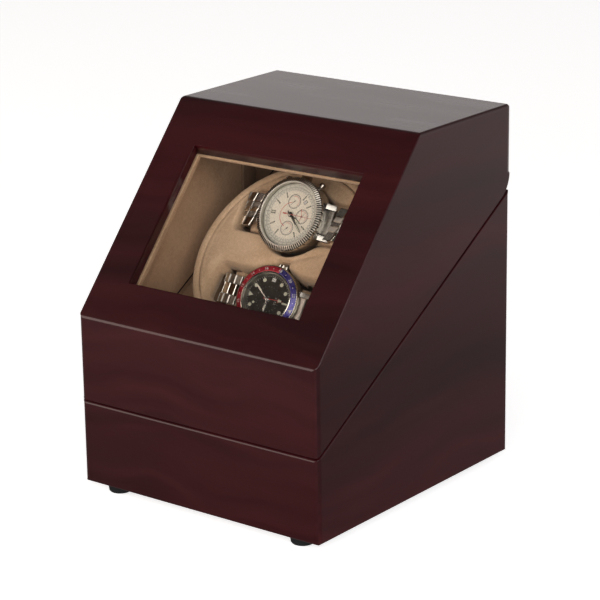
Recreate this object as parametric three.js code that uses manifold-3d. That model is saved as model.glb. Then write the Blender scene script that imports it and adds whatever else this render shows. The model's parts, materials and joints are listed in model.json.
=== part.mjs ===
// A two-watch winder: a slant-fronted lacquered wooden case with a glazed lid, and inside it a
// motor-driven turntable that holds two watches on cushions.
// Millimetres, +Z up. The origin is the middle of the case's footprint, on the surface it stands on.
import * as THREE from "three";
import { mergeVertices } from "three/addons/utils/BufferGeometryUtils.js";
import Module from "manifold-3d";

const wasm = await Module();
wasm.setup();

// ---------------------------------------------------------------- driving dimensions
// Case: x across, y back from the front face, z up from the case's underside.
const WIDTH = 178;
const DEPTH = 193;
const HEIGHT = 219;
const WALL = 9;
const FRONT_HEIGHT = 104; // lower edge of the slanted face
const TOP_FRONT = 99.4; // front edge of the top panel
const SPLIT_FRONT = 50.5; // height of the lid's parting line at the front
const SPLIT_RISE = 116; // how much higher it is at the back
const SPLIT_GAP = 1;
const FIT = 0.3; // clearance between pieces that touch
const FOOT = { radius: 7.5, height: 5.8, insetX: 19.5, insetY: 10.5 };

// Window, measured up the slanted face from its lower edge.
const WINDOW = { width: 126, bottom: 27.2, top: 121.8, reveal: 6, topBevel: 3.2 };
const REBATE = 5; // how far the glass seat is wider than the opening
const GLASS_THICKNESS = 1.7;
const LINING = 1.6;

// Lid pivot: the lid's rear lower edge is an arc about the pivot, so it clears the base.
const PIVOT_ARC = 18;
const PIN_RADIUS = 2.5;
const BUSH = { outer: 4.5, inner: 2.58 };

// Turntable: its own frame has z out of its face and y up the slope.
const TABLE = { up: 78, behind: 42.7, radius: 62, wall: 3, depth: 50, floor: 3 };
const FACE = { radius: 57.1, thickness: 3.4, recess: 0.6 };
const POCKET = { halfLength: 45, start: 1.8, end: 50, clip: 55.5 };
const CROWN_ROOM = [-3.2, 5.8];
const TRAY = { clip: 58.6, wall: 1.1, bottom: -44.3 };
const PLATE = { top: -60, thickness: 2, halfWidth: 79.4, low: -62, high: 34 };
const SPINDLE_RADIUS = 3;
const GEAR = { module: 1.25, teeth: 60, pinionTeeth: 12, top: -50.4, thickness: 5.6 };

// Watches: each has its own frame at its dial's centre, z out of the dial, 12 o'clock towards -x.
const LEAN = THREE.MathUtils.degToRad(11.8);
const CHRONO = {
  prefix: "chrono",
  place: [24, 8.9],
  turn: 0,
  roll: 0,
  dial: 19.4,
  bezel: 23.1,
  caseRadius: 22,
  caseDepth: 9.5,
  lugReach: 26.5,
  lugHalf: 11.2,
  bandHalf: 9.8,
  bandLength: 42.1,
  bandStart: 26.8,
  bandHeight: 19,
  bandCentre: -22.2,
  crownEnd: 26,
  opening: { low: 12.6, high: 40.2, radius: 22.6, centre: 24.6, crownSide: 46 },
  cushionHalf: 13,
  stems: [0, -29, 31],
  pushers: [
    ["start", -29],
    ["reset", 31],
  ],
};
const GMT = {
  prefix: "gmt",
  place: [-26.4, -3.75],
  turn: THREE.MathUtils.degToRad(-3.5),
  roll: THREE.MathUtils.degToRad(8),
  dial: 15.5,
  bezel: 20.5,
  caseRadius: 19.4,
  caseDepth: 8.6,
  lugReach: 23.5,
  lugHalf: 10.2,
  bandHalf: 9.2,
  bandLength: 43,
  bandStart: 25,
  bandHeight: 16.8,
  bandCentre: -19.6,
  crownEnd: 22.7,
  opening: { low: -38.5, high: -9.5, radius: 21.2, centre: -26.6, crownSide: -1.2 },
  cushionHalf: 12.5,
  stems: [0],
};
const BAND_THICKNESS = 3.2;
const BAND_SQUARENESS = 3.4;

// Rear control recess in the base's back wall.
const RECESS = { halfWidth: 36, low: 24, high: 50 };
const PANEL_THICKNESS = 2.5;
const PANEL_MARGIN = 6;
const CONTROL_Z = 37;
const SOCKET_X = -23;
const KNOB_X = 22;

const SLANT = Math.atan2(HEIGHT - FRONT_HEIGHT, TOP_FRONT);
const SPLIT_SLOPE = SPLIT_RISE / DEPTH;
const SPLIT = Math.atan(SPLIT_SLOPE);
const INNER_X = WIDTH / 2 - WALL;
const BACK_Y = DEPTH - WALL;
const PIVOT = { y: DEPTH - PIVOT_ARC };
PIVOT.z = SPLIT_FRONT + SPLIT_GAP + PIVOT.y * SPLIT_SLOPE + PIVOT_ARC / Math.cos(SPLIT);

// ---------------------------------------------------------------- materials
const material = (color, roughness, metalness = 0) =>
  new THREE.MeshStandardMaterial({ color, roughness, metalness });
const LACQUER = [0x3c1a1c, 0.12];
const SUEDE = [0xa98a66, 0.95];
const STEEL = [0xb8b6b0, 0.25, 1];
const PLASTIC = [0x1c1b1b, 0.5];
const RUBBER = [0x101010, 0.85];
const ZINC = [0x9a9a98, 0.4, 1];
const TAN_PAINT = [0x4a3a2a, 0.6];

// ---------------------------------------------------------------- solids
function toSolid(geometry) {
  const bare = geometry.index ? geometry.toNonIndexed() : geometry.clone();
  bare.deleteAttribute("normal");
  bare.deleteAttribute("uv");
  const merged = mergeVertices(bare, 1e-4);
  const vertProperties = merged.attributes.position.array;
  const triVerts = new Uint32Array(merged.index.array);
  return new wasm.Manifold(new wasm.Mesh({ numProp: 3, vertProperties, triVerts }));
}

function toGeometry(solid) {
  const mesh = solid.getMesh();
  const geometry = new THREE.BufferGeometry();
  geometry.setAttribute("position", new THREE.BufferAttribute(mesh.vertProperties, 3));
  geometry.setIndex(new THREE.BufferAttribute(mesh.triVerts, 1));
  return geometry;
}

function combine(operation, first, others) {
  const solids = others.map(toSolid);
  return toGeometry(solids.reduce((sum, next) => sum[operation](next), toSolid(first)));
}
const cut = (body, ...tools) => combine("subtract", body, tools);
const join = (body, ...others) => combine("add", body, others);
const common = (body, ...others) => combine("intersect", body, others);

// A box given by its two corners.
function block([x0, y0, z0], [x1, y1, z1]) {
  const box = new THREE.BoxGeometry(x1 - x0, y1 - y0, z1 - z0);
  return box.translate((x0 + x1) / 2, (y0 + y1) / 2, (z0 + z1) / 2);
}

function outline(points) {
  return new THREE.Shape(points.map(([x, y]) => new THREE.Vector2(x, y)));
}

function circle(radius, inner = 0) {
  const shape = new THREE.Shape();
  shape.absarc(0, 0, radius, 0, 2 * Math.PI);
  if (inner > 0) shape.holes.push(new THREE.Path().absarc(0, 0, inner, 0, 2 * Math.PI));
  return shape;
}

// Extrusion along z, from z0 up to z1.
function prism(shape, z0, z1, curveSegments = 24) {
  const options = { depth: z1 - z0, bevelEnabled: false, curveSegments };
  return new THREE.ExtrudeGeometry(shape, options).translate(0, 0, z0);
}
const rod = (radius, z0, z1, segments = 24) => prism(circle(radius), z0, z1, segments / 2);
const tube = (outer, inner, z0, z1, segments = 48) =>
  prism(circle(outer, inner), z0, z1, segments / 2);

// Extrusion across the case of a shape drawn in its side view, with y back and z up.
const SIDE_VIEW = new THREE.Matrix4().makeBasis(
  new THREE.Vector3(0, 1, 0),
  new THREE.Vector3(0, 0, 1),
  new THREE.Vector3(1, 0, 0),
);
function across(shape, x0, x1, curveSegments = 10) {
  return prism(shape, 0, x1 - x0, curveSegments).applyMatrix4(SIDE_VIEW).translate(x0, 0, 0);
}

// A rod along y, from y0 back to y1.
function rodY(radius, x, z, y0, y1, segments = 24) {
  return rod(radius, y0, y1, segments).rotateX(-Math.PI / 2).translate(x, 0, z);
}

// A rod along x at a place in the side view, from x0 to x1 on one side of the case.
function rodX(radius, y, z, x0, x1, segments = 24) {
  return across(circle(radius), Math.min(x0, x1), Math.max(x0, x1), segments / 2).translate(0, y, z);
}

// ---------------------------------------------------------------- scene graph
const winder = new THREE.Group();
const caseFrame = new THREE.Group();
caseFrame.position.set(0, -DEPTH / 2, FOOT.height);
winder.add(caseFrame);

const slantFrame = new THREE.Group();
slantFrame.position.set(0, 0, FRONT_HEIGHT);
slantFrame.rotation.x = SLANT;
caseFrame.add(slantFrame);

const tableFrame = new THREE.Group();
tableFrame.position.set(0, TABLE.up, -TABLE.behind);
slantFrame.add(tableFrame);

function addPart(frame, name, geometry, look) {
  const mesh = new THREE.Mesh(geometry, material(...look));
  mesh.name = name;
  frame.add(mesh);
}

// The same geometry seen from the case's frame, for cutting case pieces.
function inCase(frame, geometry) {
  caseFrame.updateWorldMatrix(true, true);
  const toCase = caseFrame.matrixWorld.clone().invert().multiply(frame.matrixWorld);
  return geometry.clone().applyMatrix4(toCase);
}

const SIDES = [
  ["left", -1],
  ["right", 1],
];
const ENDS = [
  ["front", FOOT.insetY],
  ["back", DEPTH - FOOT.insetY],
];

// ---------------------------------------------------------------- profile helpers
// Height of the parting plane at y, and a point's y on the slanted face moved inwards.
const splitZ = (y, lift = 0) => SPLIT_FRONT + y * SPLIT_SLOPE + lift;
const slantY = (z, inset = 0) => (z - FRONT_HEIGHT) / Math.tan(SLANT) + inset / Math.sin(SLANT);
const slantZ = (y, inset = 0) => FRONT_HEIGHT + (y - inset / Math.sin(SLANT)) * Math.tan(SLANT);

// ---------------------------------------------------------------- base
function buildBase() {
  const outer = outline([
    [0, 0],
    [DEPTH, 0],
    [DEPTH, splitZ(DEPTH)],
    [0, splitZ(0)],
  ]);
  const cavity = block([-INNER_X, WALL, -1], [INNER_X, BACK_Y, HEIGHT]);
  const recess = block(
    [-RECESS.halfWidth, BACK_Y - 1, RECESS.low],
    [RECESS.halfWidth, DEPTH + 1, RECESS.high],
  );
  const shell = cut(across(outer, -WIDTH / 2, WIDTH / 2), cavity, recess);
  addPart(caseFrame, "base_case", shell, LACQUER);

  const bottom = block([FIT - INNER_X, WALL + FIT, 0], [INNER_X - FIT, BACK_Y - FIT, 6]);
  addPart(caseFrame, "bottom_panel", bottom, [0x17140f, 0.9]);

  for (const [side, sign] of SIDES)
    for (const [end, y] of ENDS) {
      const profile = [
        [0, -FOOT.height],
        [FOOT.radius - 1.6, -FOOT.height],
        [FOOT.radius - 0.4, 1 - FOOT.height],
        [FOOT.radius, -0.8],
        [FOOT.radius, 0],
        [0, 0],
      ];
      const points = profile.map(([r, z]) => new THREE.Vector2(r, z));
      const foot = new THREE.LatheGeometry(points, 20).rotateX(Math.PI / 2);
      const x = sign * (WIDTH / 2 - FOOT.insetX);
      addPart(caseFrame, `foot_${end}_${side}`, foot.translate(x, y, 0), RUBBER);
    }
}

// The suede board that closes the base around the turntable.
function buildDeck() {
  const drop = -3;
  const thickness = 4;
  const front = WALL + FIT;
  const back = BACK_Y - FIT;
  const board = outline([
    [front, splitZ(front, drop - thickness)],
    [back, splitZ(back, drop - thickness)],
    [back, splitZ(back, drop)],
    [front, splitZ(front, drop)],
  ]);
  const well = inCase(tableFrame, rod(TABLE.radius + 2.4, -90, 40, 64));
  const notches = SIDES.map(([, sign]) => {
    const centre = sign * (INNER_X - 2.6);
    return block([centre - 3.4, 139, 100], [centre + 3.4, 155, HEIGHT]);
  });
  const deck = cut(across(board, FIT - INNER_X, INNER_X - FIT), well, ...notches);
  addPart(caseFrame, "deck_panel", deck, SUEDE);
}

// Gooseneck arms that rise from the base in front of the lid's swinging rear edge.
function buildPivots() {
  const armFront = 141;
  const armBack = 153;
  const armFoot = 124;
  const half = 5;
  for (const [side, sign] of SIDES) {
    const shape = new THREE.Shape();
    shape.moveTo(armFront, armFoot);
    shape.lineTo(armBack, armFoot);
    shape.lineTo(armBack, PIVOT.z - half);
    shape.lineTo(PIVOT.y, PIVOT.z - half);
    shape.absarc(PIVOT.y, PIVOT.z, half, -Math.PI / 2, Math.PI / 2, false);
    shape.lineTo(armFront + half, PIVOT.z + half);
    shape.lineTo(armFront, PIVOT.z);
    const inner = INNER_X - 4.8;
    const outer = INNER_X - 2.6;
    const xs = [sign * inner, sign * outer].sort((a, b) => a - b);
    const arm = across(shape, xs[0], xs[1]);
    const padXs = [sign * (outer - 0.5), sign * (INNER_X - FIT)].sort((a, b) => a - b);
    const pad = block([padXs[0], armFront, armFoot], [padXs[1], armBack, armFoot + 8]);
    const hole = rodX(PIN_RADIUS + FIT, PIVOT.y, PIVOT.z, xs[0] - 1, xs[1] + 1);
    addPart(caseFrame, `pivot_bracket_${side}`, cut(join(arm, pad), hole), TAN_PAINT);

    const headX = sign * (inner - FIT);
    const head = rodX(4.2, PIVOT.y, PIVOT.z, headX, headX - sign * 1.6);
    const shank = rodX(PIN_RADIUS, PIVOT.y, PIVOT.z, headX - sign * 1, sign * (INNER_X + 4.5));
    addPart(caseFrame, `pivot_pin_${side}`, join(head, shank), STEEL);

    const bush = circle(BUSH.outer, BUSH.inner);
    const bushXs = [sign * (INNER_X - 1.9), sign * (INNER_X + 5)].sort((a, b) => a - b);
    const ring = across(bush, bushXs[0], bushXs[1], 12).translate(0, PIVOT.y, PIVOT.z);
    addPart(caseFrame, `pivot_bush_${side}`, ring, [0xb08d4c, 0.35, 1]);
  }
}

// ---------------------------------------------------------------- lid
function buildLidShell() {
  const shape = new THREE.Shape();
  shape.moveTo(0, splitZ(0, SPLIT_GAP));
  shape.lineTo(0, FRONT_HEIGHT);
  shape.lineTo(TOP_FRONT, HEIGHT);
  shape.lineTo(DEPTH, HEIGHT);
  shape.lineTo(DEPTH, PIVOT.z);
  shape.absarc(PIVOT.y, PIVOT.z, PIVOT_ARC, 0, SPLIT - Math.PI / 2, true);
  const cavity = outline([
    [WALL, -1],
    [BACK_Y, -1],
    [BACK_Y, HEIGHT - WALL],
    [slantY(HEIGHT - WALL, WALL), HEIGHT - WALL],
    [WALL, slantZ(WALL, WALL)],
  ]);
  const half = WINDOW.width / 2;
  const opening = across(
    outline([
      [WINDOW.bottom, 1],
      [WINDOW.bottom, -WINDOW.reveal - 1],
      [WINDOW.top - WINDOW.topBevel, -WINDOW.reveal - 1],
      [WINDOW.top - WINDOW.topBevel, -WINDOW.reveal],
      [WINDOW.top, -0.8],
      [WINDOW.top, 1],
    ]),
    -half,
    half,
  );
  const rebate = block(
    [-half - REBATE, WINDOW.bottom - REBATE, -WALL - 4],
    [half + REBATE, WINDOW.top + REBATE, -WINDOW.reveal],
  );
  const bores = SIDES.map(([, sign]) =>
    rodX(BUSH.outer + FIT, PIVOT.y, PIVOT.z, sign * (INNER_X - 1), sign * (INNER_X + 5.4)),
  );
  const shell = cut(
    across(shape, -WIDTH / 2, WIDTH / 2),
    across(cavity, -INNER_X, INNER_X),
    inCase(slantFrame, opening),
    inCase(slantFrame, rebate),
    ...bores,
  );
  addPart(caseFrame, "lid_shell", shell, LACQUER);
}

function buildWindow() {
  const half = WINDOW.width / 2;
  const seat = REBATE - FIT;
  const glassTop = -WINDOW.reveal - 0.2;
  const glass = block(
    [-half - seat, WINDOW.bottom - seat, glassTop - GLASS_THICKNESS],
    [half + seat, WINDOW.top + seat, glassTop],
  );
  addPart(slantFrame, "window_glass", glass, [0xdfe6e2, 0.02]);

  const boardTop = -WALL - FIT;
  const board = block([FIT * 7 - INNER_X, 6, boardTop - LINING], [INNER_X - FIT * 7, 146.5, boardTop]);
  const lip = block(
    [-half - seat, WINDOW.bottom - seat, boardTop - 0.5],
    [half + seat, WINDOW.top + seat, glassTop - GLASS_THICKNESS - 0.2],
  );
  const opening = block(
    [-half, WINDOW.bottom, -WALL - 5],
    [half, WINDOW.top - WINDOW.topBevel, 0],
  );
  addPart(slantFrame, "glazing_frame", cut(join(board, lip), opening), SUEDE);
}

function buildLidLining() {
  const near = WALL + FIT;
  const far = near + LINING;
  const rear = DEPTH - near;
  const top = HEIGHT - near;
  const sideX = [INNER_X - FIT - LINING, INNER_X - FIT];
  const sideShape = outline([
    [near, splitZ(near, 3)],
    [rear - 8, splitZ(rear - 8, 3)],
    [rear, splitZ(rear, 6)],
    [rear, top],
    [slantY(top, near), top],
    [near, slantZ(near, near)],
  ]);
  for (const [side, sign] of SIDES) {
    const xs = sideX.map((x) => sign * x).sort((a, b) => a - b);
    const bore = rodX(BUSH.outer + FIT, PIVOT.y, PIVOT.z, xs[0] - 1, xs[1] + 1);
    addPart(caseFrame, `lid_lining_${side}`, cut(across(sideShape, xs[0], xs[1]), bore), SUEDE);
  }
  const halfX = sideX[0] - FIT;
  const topLining = block([-halfX, 105, top - LINING], [halfX, rear, top]);
  addPart(caseFrame, "lid_lining_top", topLining, SUEDE);
  const rearLining = block(
    [-halfX, rear - LINING, splitZ(rear, 6)],
    [halfX, rear, top - LINING - FIT],
  );
  addPart(caseFrame, "lid_lining_rear", rearLining, SUEDE);
  const frontLining = block([-halfX, near, splitZ(far, 3)], [halfX, far, slantZ(near, near) - 0.6]);
  addPart(caseFrame, "lid_lining_front", frontLining, SUEDE);
}

// ---------------------------------------------------------------- drive
function buildDrive() {
  const pinionY = -(GEAR.module * (GEAR.teeth + GEAR.pinionTeeth)) / 2;
  const motorY = pinionY + 7;
  const plateBottom = PLATE.top - PLATE.thickness;
  const plate = cut(
    block([-PLATE.halfWidth, PLATE.low, plateBottom], [PLATE.halfWidth, PLATE.high, PLATE.top]),
    rod(6.3, plateBottom - 1, PLATE.top + 1),
    rod(5, plateBottom - 1, PLATE.top + 1).translate(0, pinionY, 0),
  );
  addPart(tableFrame, "chassis_plate", plate, ZINC);

  for (const [side, sign] of SIDES) {
    const xs = [sign * 69, sign * (INNER_X - FIT)].sort((a, b) => a - b);
    const cleat = block([xs[0], -50, plateBottom - 12], [xs[1], 22, plateBottom - FIT]);
    addPart(tableFrame, `cleat_${side}`, cleat, [0x8a6a44, 0.7]);
  }

  const flange = tube(9, SPINDLE_RADIUS + 0.1, PLATE.top + FIT, PLATE.top + 2.2, 32);
  const sleeve = tube(6, SPINDLE_RADIUS + 0.1, PLATE.top - 9, PLATE.top + 1, 32);
  addPart(tableFrame, "spindle_bush", join(flange, sleeve), [0xb08d4c, 0.4, 1]);

  const gearboxTop = plateBottom - FIT;
  const gearbox = rod(18.5, gearboxTop - 22, gearboxTop, 36).translate(0, motorY, 0);
  const motor = rod(16, gearboxTop - 50, gearboxTop - 21, 36).translate(0, motorY, 0);
  const tail = rod(4, gearboxTop - 53, gearboxTop - 49).translate(0, motorY, 0);
  const bore = rod(2.7, gearboxTop - 8, gearboxTop + 1).translate(0, pinionY, 0);
  addPart(tableFrame, "gearmotor", cut(join(gearbox, motor, tail), bore), ZINC);

  const shaft = rod(2.5, gearboxTop - 7.6, GEAR.top - 1).translate(0, pinionY, 0);
  const pinion = gearPrism(GEAR.pinionTeeth, 0, Math.PI / GEAR.pinionTeeth).translate(0, pinionY, 0);
  addPart(tableFrame, "motor_pinion", join(pinion, shaft), [0xe9e4d6, 0.5]);
}

// Straight-sided teeth with backlash; turn is the angle of the first tooth's middle.
function gearPrism(teeth, bore, turn) {
  const pitchRadius = (GEAR.module * teeth) / 2;
  const tip = pitchRadius + 0.9 * GEAR.module;
  const root = pitchRadius - 1.2 * GEAR.module;
  const pitch = (2 * Math.PI) / teeth;
  const corners = [
    [root, -0.3],
    [tip, -0.12],
    [tip, 0.12],
    [root, 0.3],
  ];
  const points = [];
  for (let tooth = 0; tooth < teeth; tooth += 1)
    for (const [radius, share] of corners) {
      const angle = turn + (tooth + share) * pitch;
      points.push([radius * Math.cos(angle), radius * Math.sin(angle)]);
    }
  const shape = outline(points);
  if (bore > 0) shape.holes.push(new THREE.Path().absarc(0, 0, bore, 0, 2 * Math.PI));
  return prism(shape, GEAR.top - GEAR.thickness, GEAR.top, 12);
}

// ---------------------------------------------------------------- rear controls
function buildControls() {
  const panelBack = BACK_Y - FIT;
  const panelFront = panelBack - PANEL_THICKNESS;
  const rocker = { x: 0, halfWidth: 6, halfHeight: 8.5 };
  const plate = cut(
    block(
      [-RECESS.halfWidth - PANEL_MARGIN, panelFront, RECESS.low - PANEL_MARGIN],
      [RECESS.halfWidth + PANEL_MARGIN, panelBack, RECESS.high + PANEL_MARGIN],
    ),
    rodY(5.6, SOCKET_X, CONTROL_Z, panelFront - 1, panelBack + 1),
    rodY(3.4, KNOB_X, CONTROL_Z, panelFront - 1, panelBack + 1),
    block(
      [-rocker.halfWidth - 0.7, panelFront - 1, CONTROL_Z - rocker.halfHeight - 1.2],
      [rocker.halfWidth + 0.7, panelBack + 1, CONTROL_Z + rocker.halfHeight + 1.2],
    ),
  );
  addPart(caseFrame, "control_panel", plate, PLASTIC);

  const barrel = rodY(5.3, SOCKET_X, CONTROL_Z, panelFront - 9, panelBack + 2);
  const mouth = rodY(2.9, SOCKET_X, CONTROL_Z, panelFront - 7, panelBack + 3);
  const contact = rodY(1, SOCKET_X, CONTROL_Z, panelFront - 8, panelBack + 1, 12);
  addPart(caseFrame, "dc_socket", join(cut(barrel, mouth), contact), PLASTIC);

  const rockerShape = outline([
    [panelFront - 3, CONTROL_Z - rocker.halfHeight],
    [panelBack + 2.8, CONTROL_Z - rocker.halfHeight],
    [panelBack + 1, CONTROL_Z],
    [panelBack + 2.8, CONTROL_Z + rocker.halfHeight],
    [panelFront - 3, CONTROL_Z + rocker.halfHeight],
  ]);
  const key = across(rockerShape, -rocker.halfWidth, rocker.halfWidth);
  addPart(caseFrame, "power_rocker", key, PLASTIC);

  const cap = rodY(8.5, KNOB_X, CONTROL_Z, panelBack + 0.8, panelBack + 7.4, 32);
  const stem = rodY(3, KNOB_X, CONTROL_Z, panelFront - 6, panelBack + 1);
  const pointer = block(
    [KNOB_X - 0.5, panelBack + 6.8, CONTROL_Z + 2],
    [KNOB_X + 0.5, panelBack + 8, CONTROL_Z + 8.8],
  );
  addPart(caseFrame, "program_knob", cut(join(cap, stem), pointer), PLASTIC);

  const board = block([-34, 120, 9.5], [34, 166, 11.1]);
  const parts = [
    block([-30, 126, 11], [-14, 140, 17]),
    block([-8, 130, 11], [4, 142, 13]),
    rod(4, 11, 20, 16).translate(14, 134, 0),
    block([20, 128, 11], [30, 150, 15]),
    ...[-30, 30].flatMap((x) => [123, 163].map((y) => rod(2.2, 6.1, 9.6, 12).translate(x, y, 0))),
  ];
  addPart(caseFrame, "control_board", join(board, ...parts), [0x1f5a34, 0.6]);
}

// ---------------------------------------------------------------- turntable
// The room for a cushion under the turntable's face: a slot from start to end, inside a circle.
function pocketPrism(sign, start, halfLength, clip, z0, z1) {
  const ys = [sign * start, sign * POCKET.end].sort((a, b) => a - b);
  const slot = block([-halfLength, ys[0], z0], [halfLength, ys[1], z1]);
  return common(slot, rod(clip, z0 - 1, z1 + 1, 72));
}

// The opening in the face for a watch: a slot for its bracelet, a round for its case, room for its crown.
function faceOpening({ low, high, radius, centre, crownSide }) {
  const slot = block([-POCKET.halfLength, low, -9], [POCKET.halfLength, high, 1]);
  const round = rod(radius, -9, 1, 72).translate(0, centre, 0);
  const crownRoom = block([CROWN_ROOM[0], centre, -9], [CROWN_ROOM[1], crownSide, 1]);
  return common(join(slot, round, crownRoom), rod(POCKET.clip, -10, 2, 72));
}

function buildTurntable() {
  const lip = FACE.thickness + FACE.recess;
  const drumTop = -lip - FIT;
  const hollow = TABLE.radius - TABLE.wall;
  const drum = cut(
    rod(TABLE.radius - 0.2, -TABLE.depth, drumTop, 72),
    rod(hollow, TABLE.floor - TABLE.depth, drumTop + 1, 72),
    rod(SPINDLE_RADIUS + FIT, -TABLE.depth - 1, 0, 24),
  );
  addPart(tableFrame, "turntable_drum", drum, SUEDE);

  const rimProfile = [
    [FACE.radius + FIT, -lip],
    [TABLE.radius, -lip],
    [TABLE.radius, -1.2],
    [TABLE.radius - 1.2, 0],
    [FACE.radius + 1.2, 0],
    [FACE.radius + FIT, -0.9],
    [FACE.radius + FIT, -lip],
  ].map(([r, z]) => new THREE.Vector2(r, z));
  const rim = new THREE.LatheGeometry(rimProfile, 72).rotateX(Math.PI / 2);
  addPart(tableFrame, "turntable_rim", rim, SUEDE);

  const disc = rod(FACE.radius, -lip, -FACE.recess, 72);
  const face = cut(disc, faceOpening(CHRONO.opening), faceOpening(GMT.opening));
  addPart(tableFrame, "turntable_face", face, SUEDE);

  const room = TRAY.clip - TRAY.wall;
  const tray = cut(
    rod(TRAY.clip, TRAY.bottom, drumTop, 72),
    pocketPrism(1, POCKET.start - 0.3, POCKET.halfLength + 2, room, TRAY.bottom + TRAY.wall, 1),
    pocketPrism(-1, POCKET.start - 0.3, POCKET.halfLength + 2, room, TRAY.bottom + TRAY.wall, 1),
  );
  addPart(tableFrame, "pocket_tray", tray, SUEDE);

  const flange = rod(8, TABLE.floor - TABLE.depth + FIT, TABLE.floor - TABLE.depth + 2.2, 28);
  const shaft = rod(SPINDLE_RADIUS, PLATE.top - 14, TABLE.floor - TABLE.depth + 1, 32);
  addPart(tableFrame, "spindle", join(flange, shaft), STEEL);
  addPart(tableFrame, "drive_gear", gearPrism(GEAR.teeth, SPINDLE_RADIUS + FIT, 0), [0xe9e4d6, 0.5]);
}

// ---------------------------------------------------------------- watches
// An oval loop around the cushion, in the watch's x-z plane.
function oval(halfLength, halfHeight, centre, steps = 48) {
  const power = 2 / BAND_SQUARENESS;
  const squash = (value) => Math.sign(value) * Math.abs(value) ** power;
  const points = [];
  for (let step = 0; step < steps; step += 1) {
    const angle = (2 * Math.PI * step) / steps;
    const x = halfLength * squash(Math.cos(angle));
    points.push([x, centre + halfHeight * squash(Math.sin(angle))]);
  }
  return points;
}

// Turns a shape drawn in x-z into a band of the given half width along y.
function band(points, halfWidth) {
  return prism(outline(points), -halfWidth, halfWidth).rotateX(Math.PI / 2);
}

// A hand lies along +y from the dial's centre and is turned by its angle, clockwise from +y.
function handPrism(length, width, tail, z0, z1, hub, degrees) {
  const blade = outline([
    [-width / 2, -tail],
    [width / 2, -tail],
    [width / 2, length * 0.72],
    [0, length],
    [-width / 2, length * 0.72],
  ]);
  const boss = rod(hub, z0, z1, 16);
  const hand = cut(join(prism(blade, z0, z1), boss), rod(0.8, z0 - 1, z1 + 1, 12));
  return hand.rotateZ(-THREE.MathUtils.degToRad(degrees));
}

function watchFrame(watch) {
  const frame = new THREE.Group();
  frame.position.set(0, watch.place[0], watch.place[1]);
  frame.rotation.set(LEAN, 0, watch.turn);
  tableFrame.add(frame);
  return frame;
}

function buildWatchCase(watch, frame) {
  const { prefix, caseRadius, caseDepth, lugReach, lugHalf } = watch;
  const body = rod(caseRadius, -caseDepth, -1.1, 40);
  const lugWidth = 3.2;
  const lugs = [-1, 1].map((sign) => {
    const ys = [sign * (lugHalf - lugWidth), sign * lugHalf].sort((a, b) => a - b);
    const shape = outline([
      [-lugReach, -caseDepth + 0.6],
      [lugReach, -caseDepth + 0.6],
      [lugReach, -6.2],
      [lugReach - 5, -2.6],
      [5 - lugReach, -2.6],
      [-lugReach, -6.2],
    ]);
    return prism(shape, -ys[1], -ys[0]).rotateX(Math.PI / 2);
  });
  const seat = rod(watch.dial + 0.3, -1.9, 1, 40);
  const stemHoles = watch.stems.map((degrees) =>
    onFlank(rod(1.2, caseRadius - 5, caseRadius + 1, 12), degrees),
  );
  addPart(frame, `${prefix}_case`, cut(join(body, ...lugs), seat, ...stemHoles), STEEL);

  const post = rod(0.5, -1, 2, 10);
  const dial = join(rod(watch.dial, -0.9, 0, 40), post);
  const dialLook = prefix === "gmt" ? [0x101010, 0.4] : [0xe9e4d6, 0.5];
  addPart(frame, `${prefix}_dial`, dial, dialLook);

  const bezelProfile = [
    [watch.dial + 0.2, -0.8],
    [watch.bezel - 0.8, -0.8],
    [watch.bezel, 0],
    [watch.bezel, 1.2],
    [watch.bezel - 0.6, 1.8],
    [watch.dial + 1.2, 3.2],
    [watch.dial + 0.2, 3.2],
    [watch.dial + 0.2, -0.8],
  ].map(([r, z]) => new THREE.Vector2(r, z));
  const bezel = new THREE.LatheGeometry(bezelProfile, 60).rotateX(Math.PI / 2);
  addPart(frame, `${prefix}_bezel`, bezel, STEEL);

  const crystal = rod(watch.dial - 0.1, 2.4, 3.4, 40);
  addPart(frame, `${prefix}_crystal`, crystal, [0xffffff, 0.02]);
}

// Lays a rod drawn along z out through the case's flank, clockwise by degrees from 3 o'clock.
function onFlank(geometry, degrees) {
  const turn = -THREE.MathUtils.degToRad(degrees);
  return geometry.rotateX(-Math.PI / 2).rotateZ(turn).translate(0, 0, -5);
}

// A crown or pusher: a stem in the flank's hole and a cap outside it.
function flankKnob(stemRadius, capRadius, capStart, capEnd, degrees) {
  const stem = rod(stemRadius, capStart - 3, capStart + 0.5, 12);
  const cap = rod(capRadius, capStart, capEnd, 20);
  return onFlank(join(stem, cap), degrees);
}

function buildBracelet(watch, frame, head) {
  const { prefix, bandHalf, bandLength, bandHeight, bandCentre, bandStart, caseDepth } = watch;
  const outer = band(oval(bandLength, bandHeight, bandCentre), bandHalf);
  const innerLength = bandLength - BAND_THICKNESS;
  const innerHeight = bandHeight - BAND_THICKNESS;
  const inner = band(oval(innerLength, innerHeight, bandCentre), bandHalf + 1);
  const gap = block([-bandStart, -bandHalf - 1, bandCentre], [bandStart, bandHalf + 1, 10]);
  addPart(frame, `${prefix}_bracelet`, cut(outer, inner, gap), STEEL);

  const fill = band(oval(innerLength - FIT, innerHeight - FIT, bandCentre), watch.cushionHalf);
  const underCase = block([-60, -30, -caseDepth - FIT], [60, 30, 20]).applyMatrix4(head.matrix);
  const toFrame = frame.matrix.clone().invert();
  const room = pocketPrism(
    Math.sign(watch.place[0]),
    POCKET.start + 0.4,
    POCKET.halfLength - 0.4,
    POCKET.clip - 0.4,
    TRAY.bottom + TRAY.wall + FIT,
    40,
  ).applyMatrix4(toFrame);
  addPart(frame, `cushion_${prefix}`, common(cut(fill, underCase), room), SUEDE);
}

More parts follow.
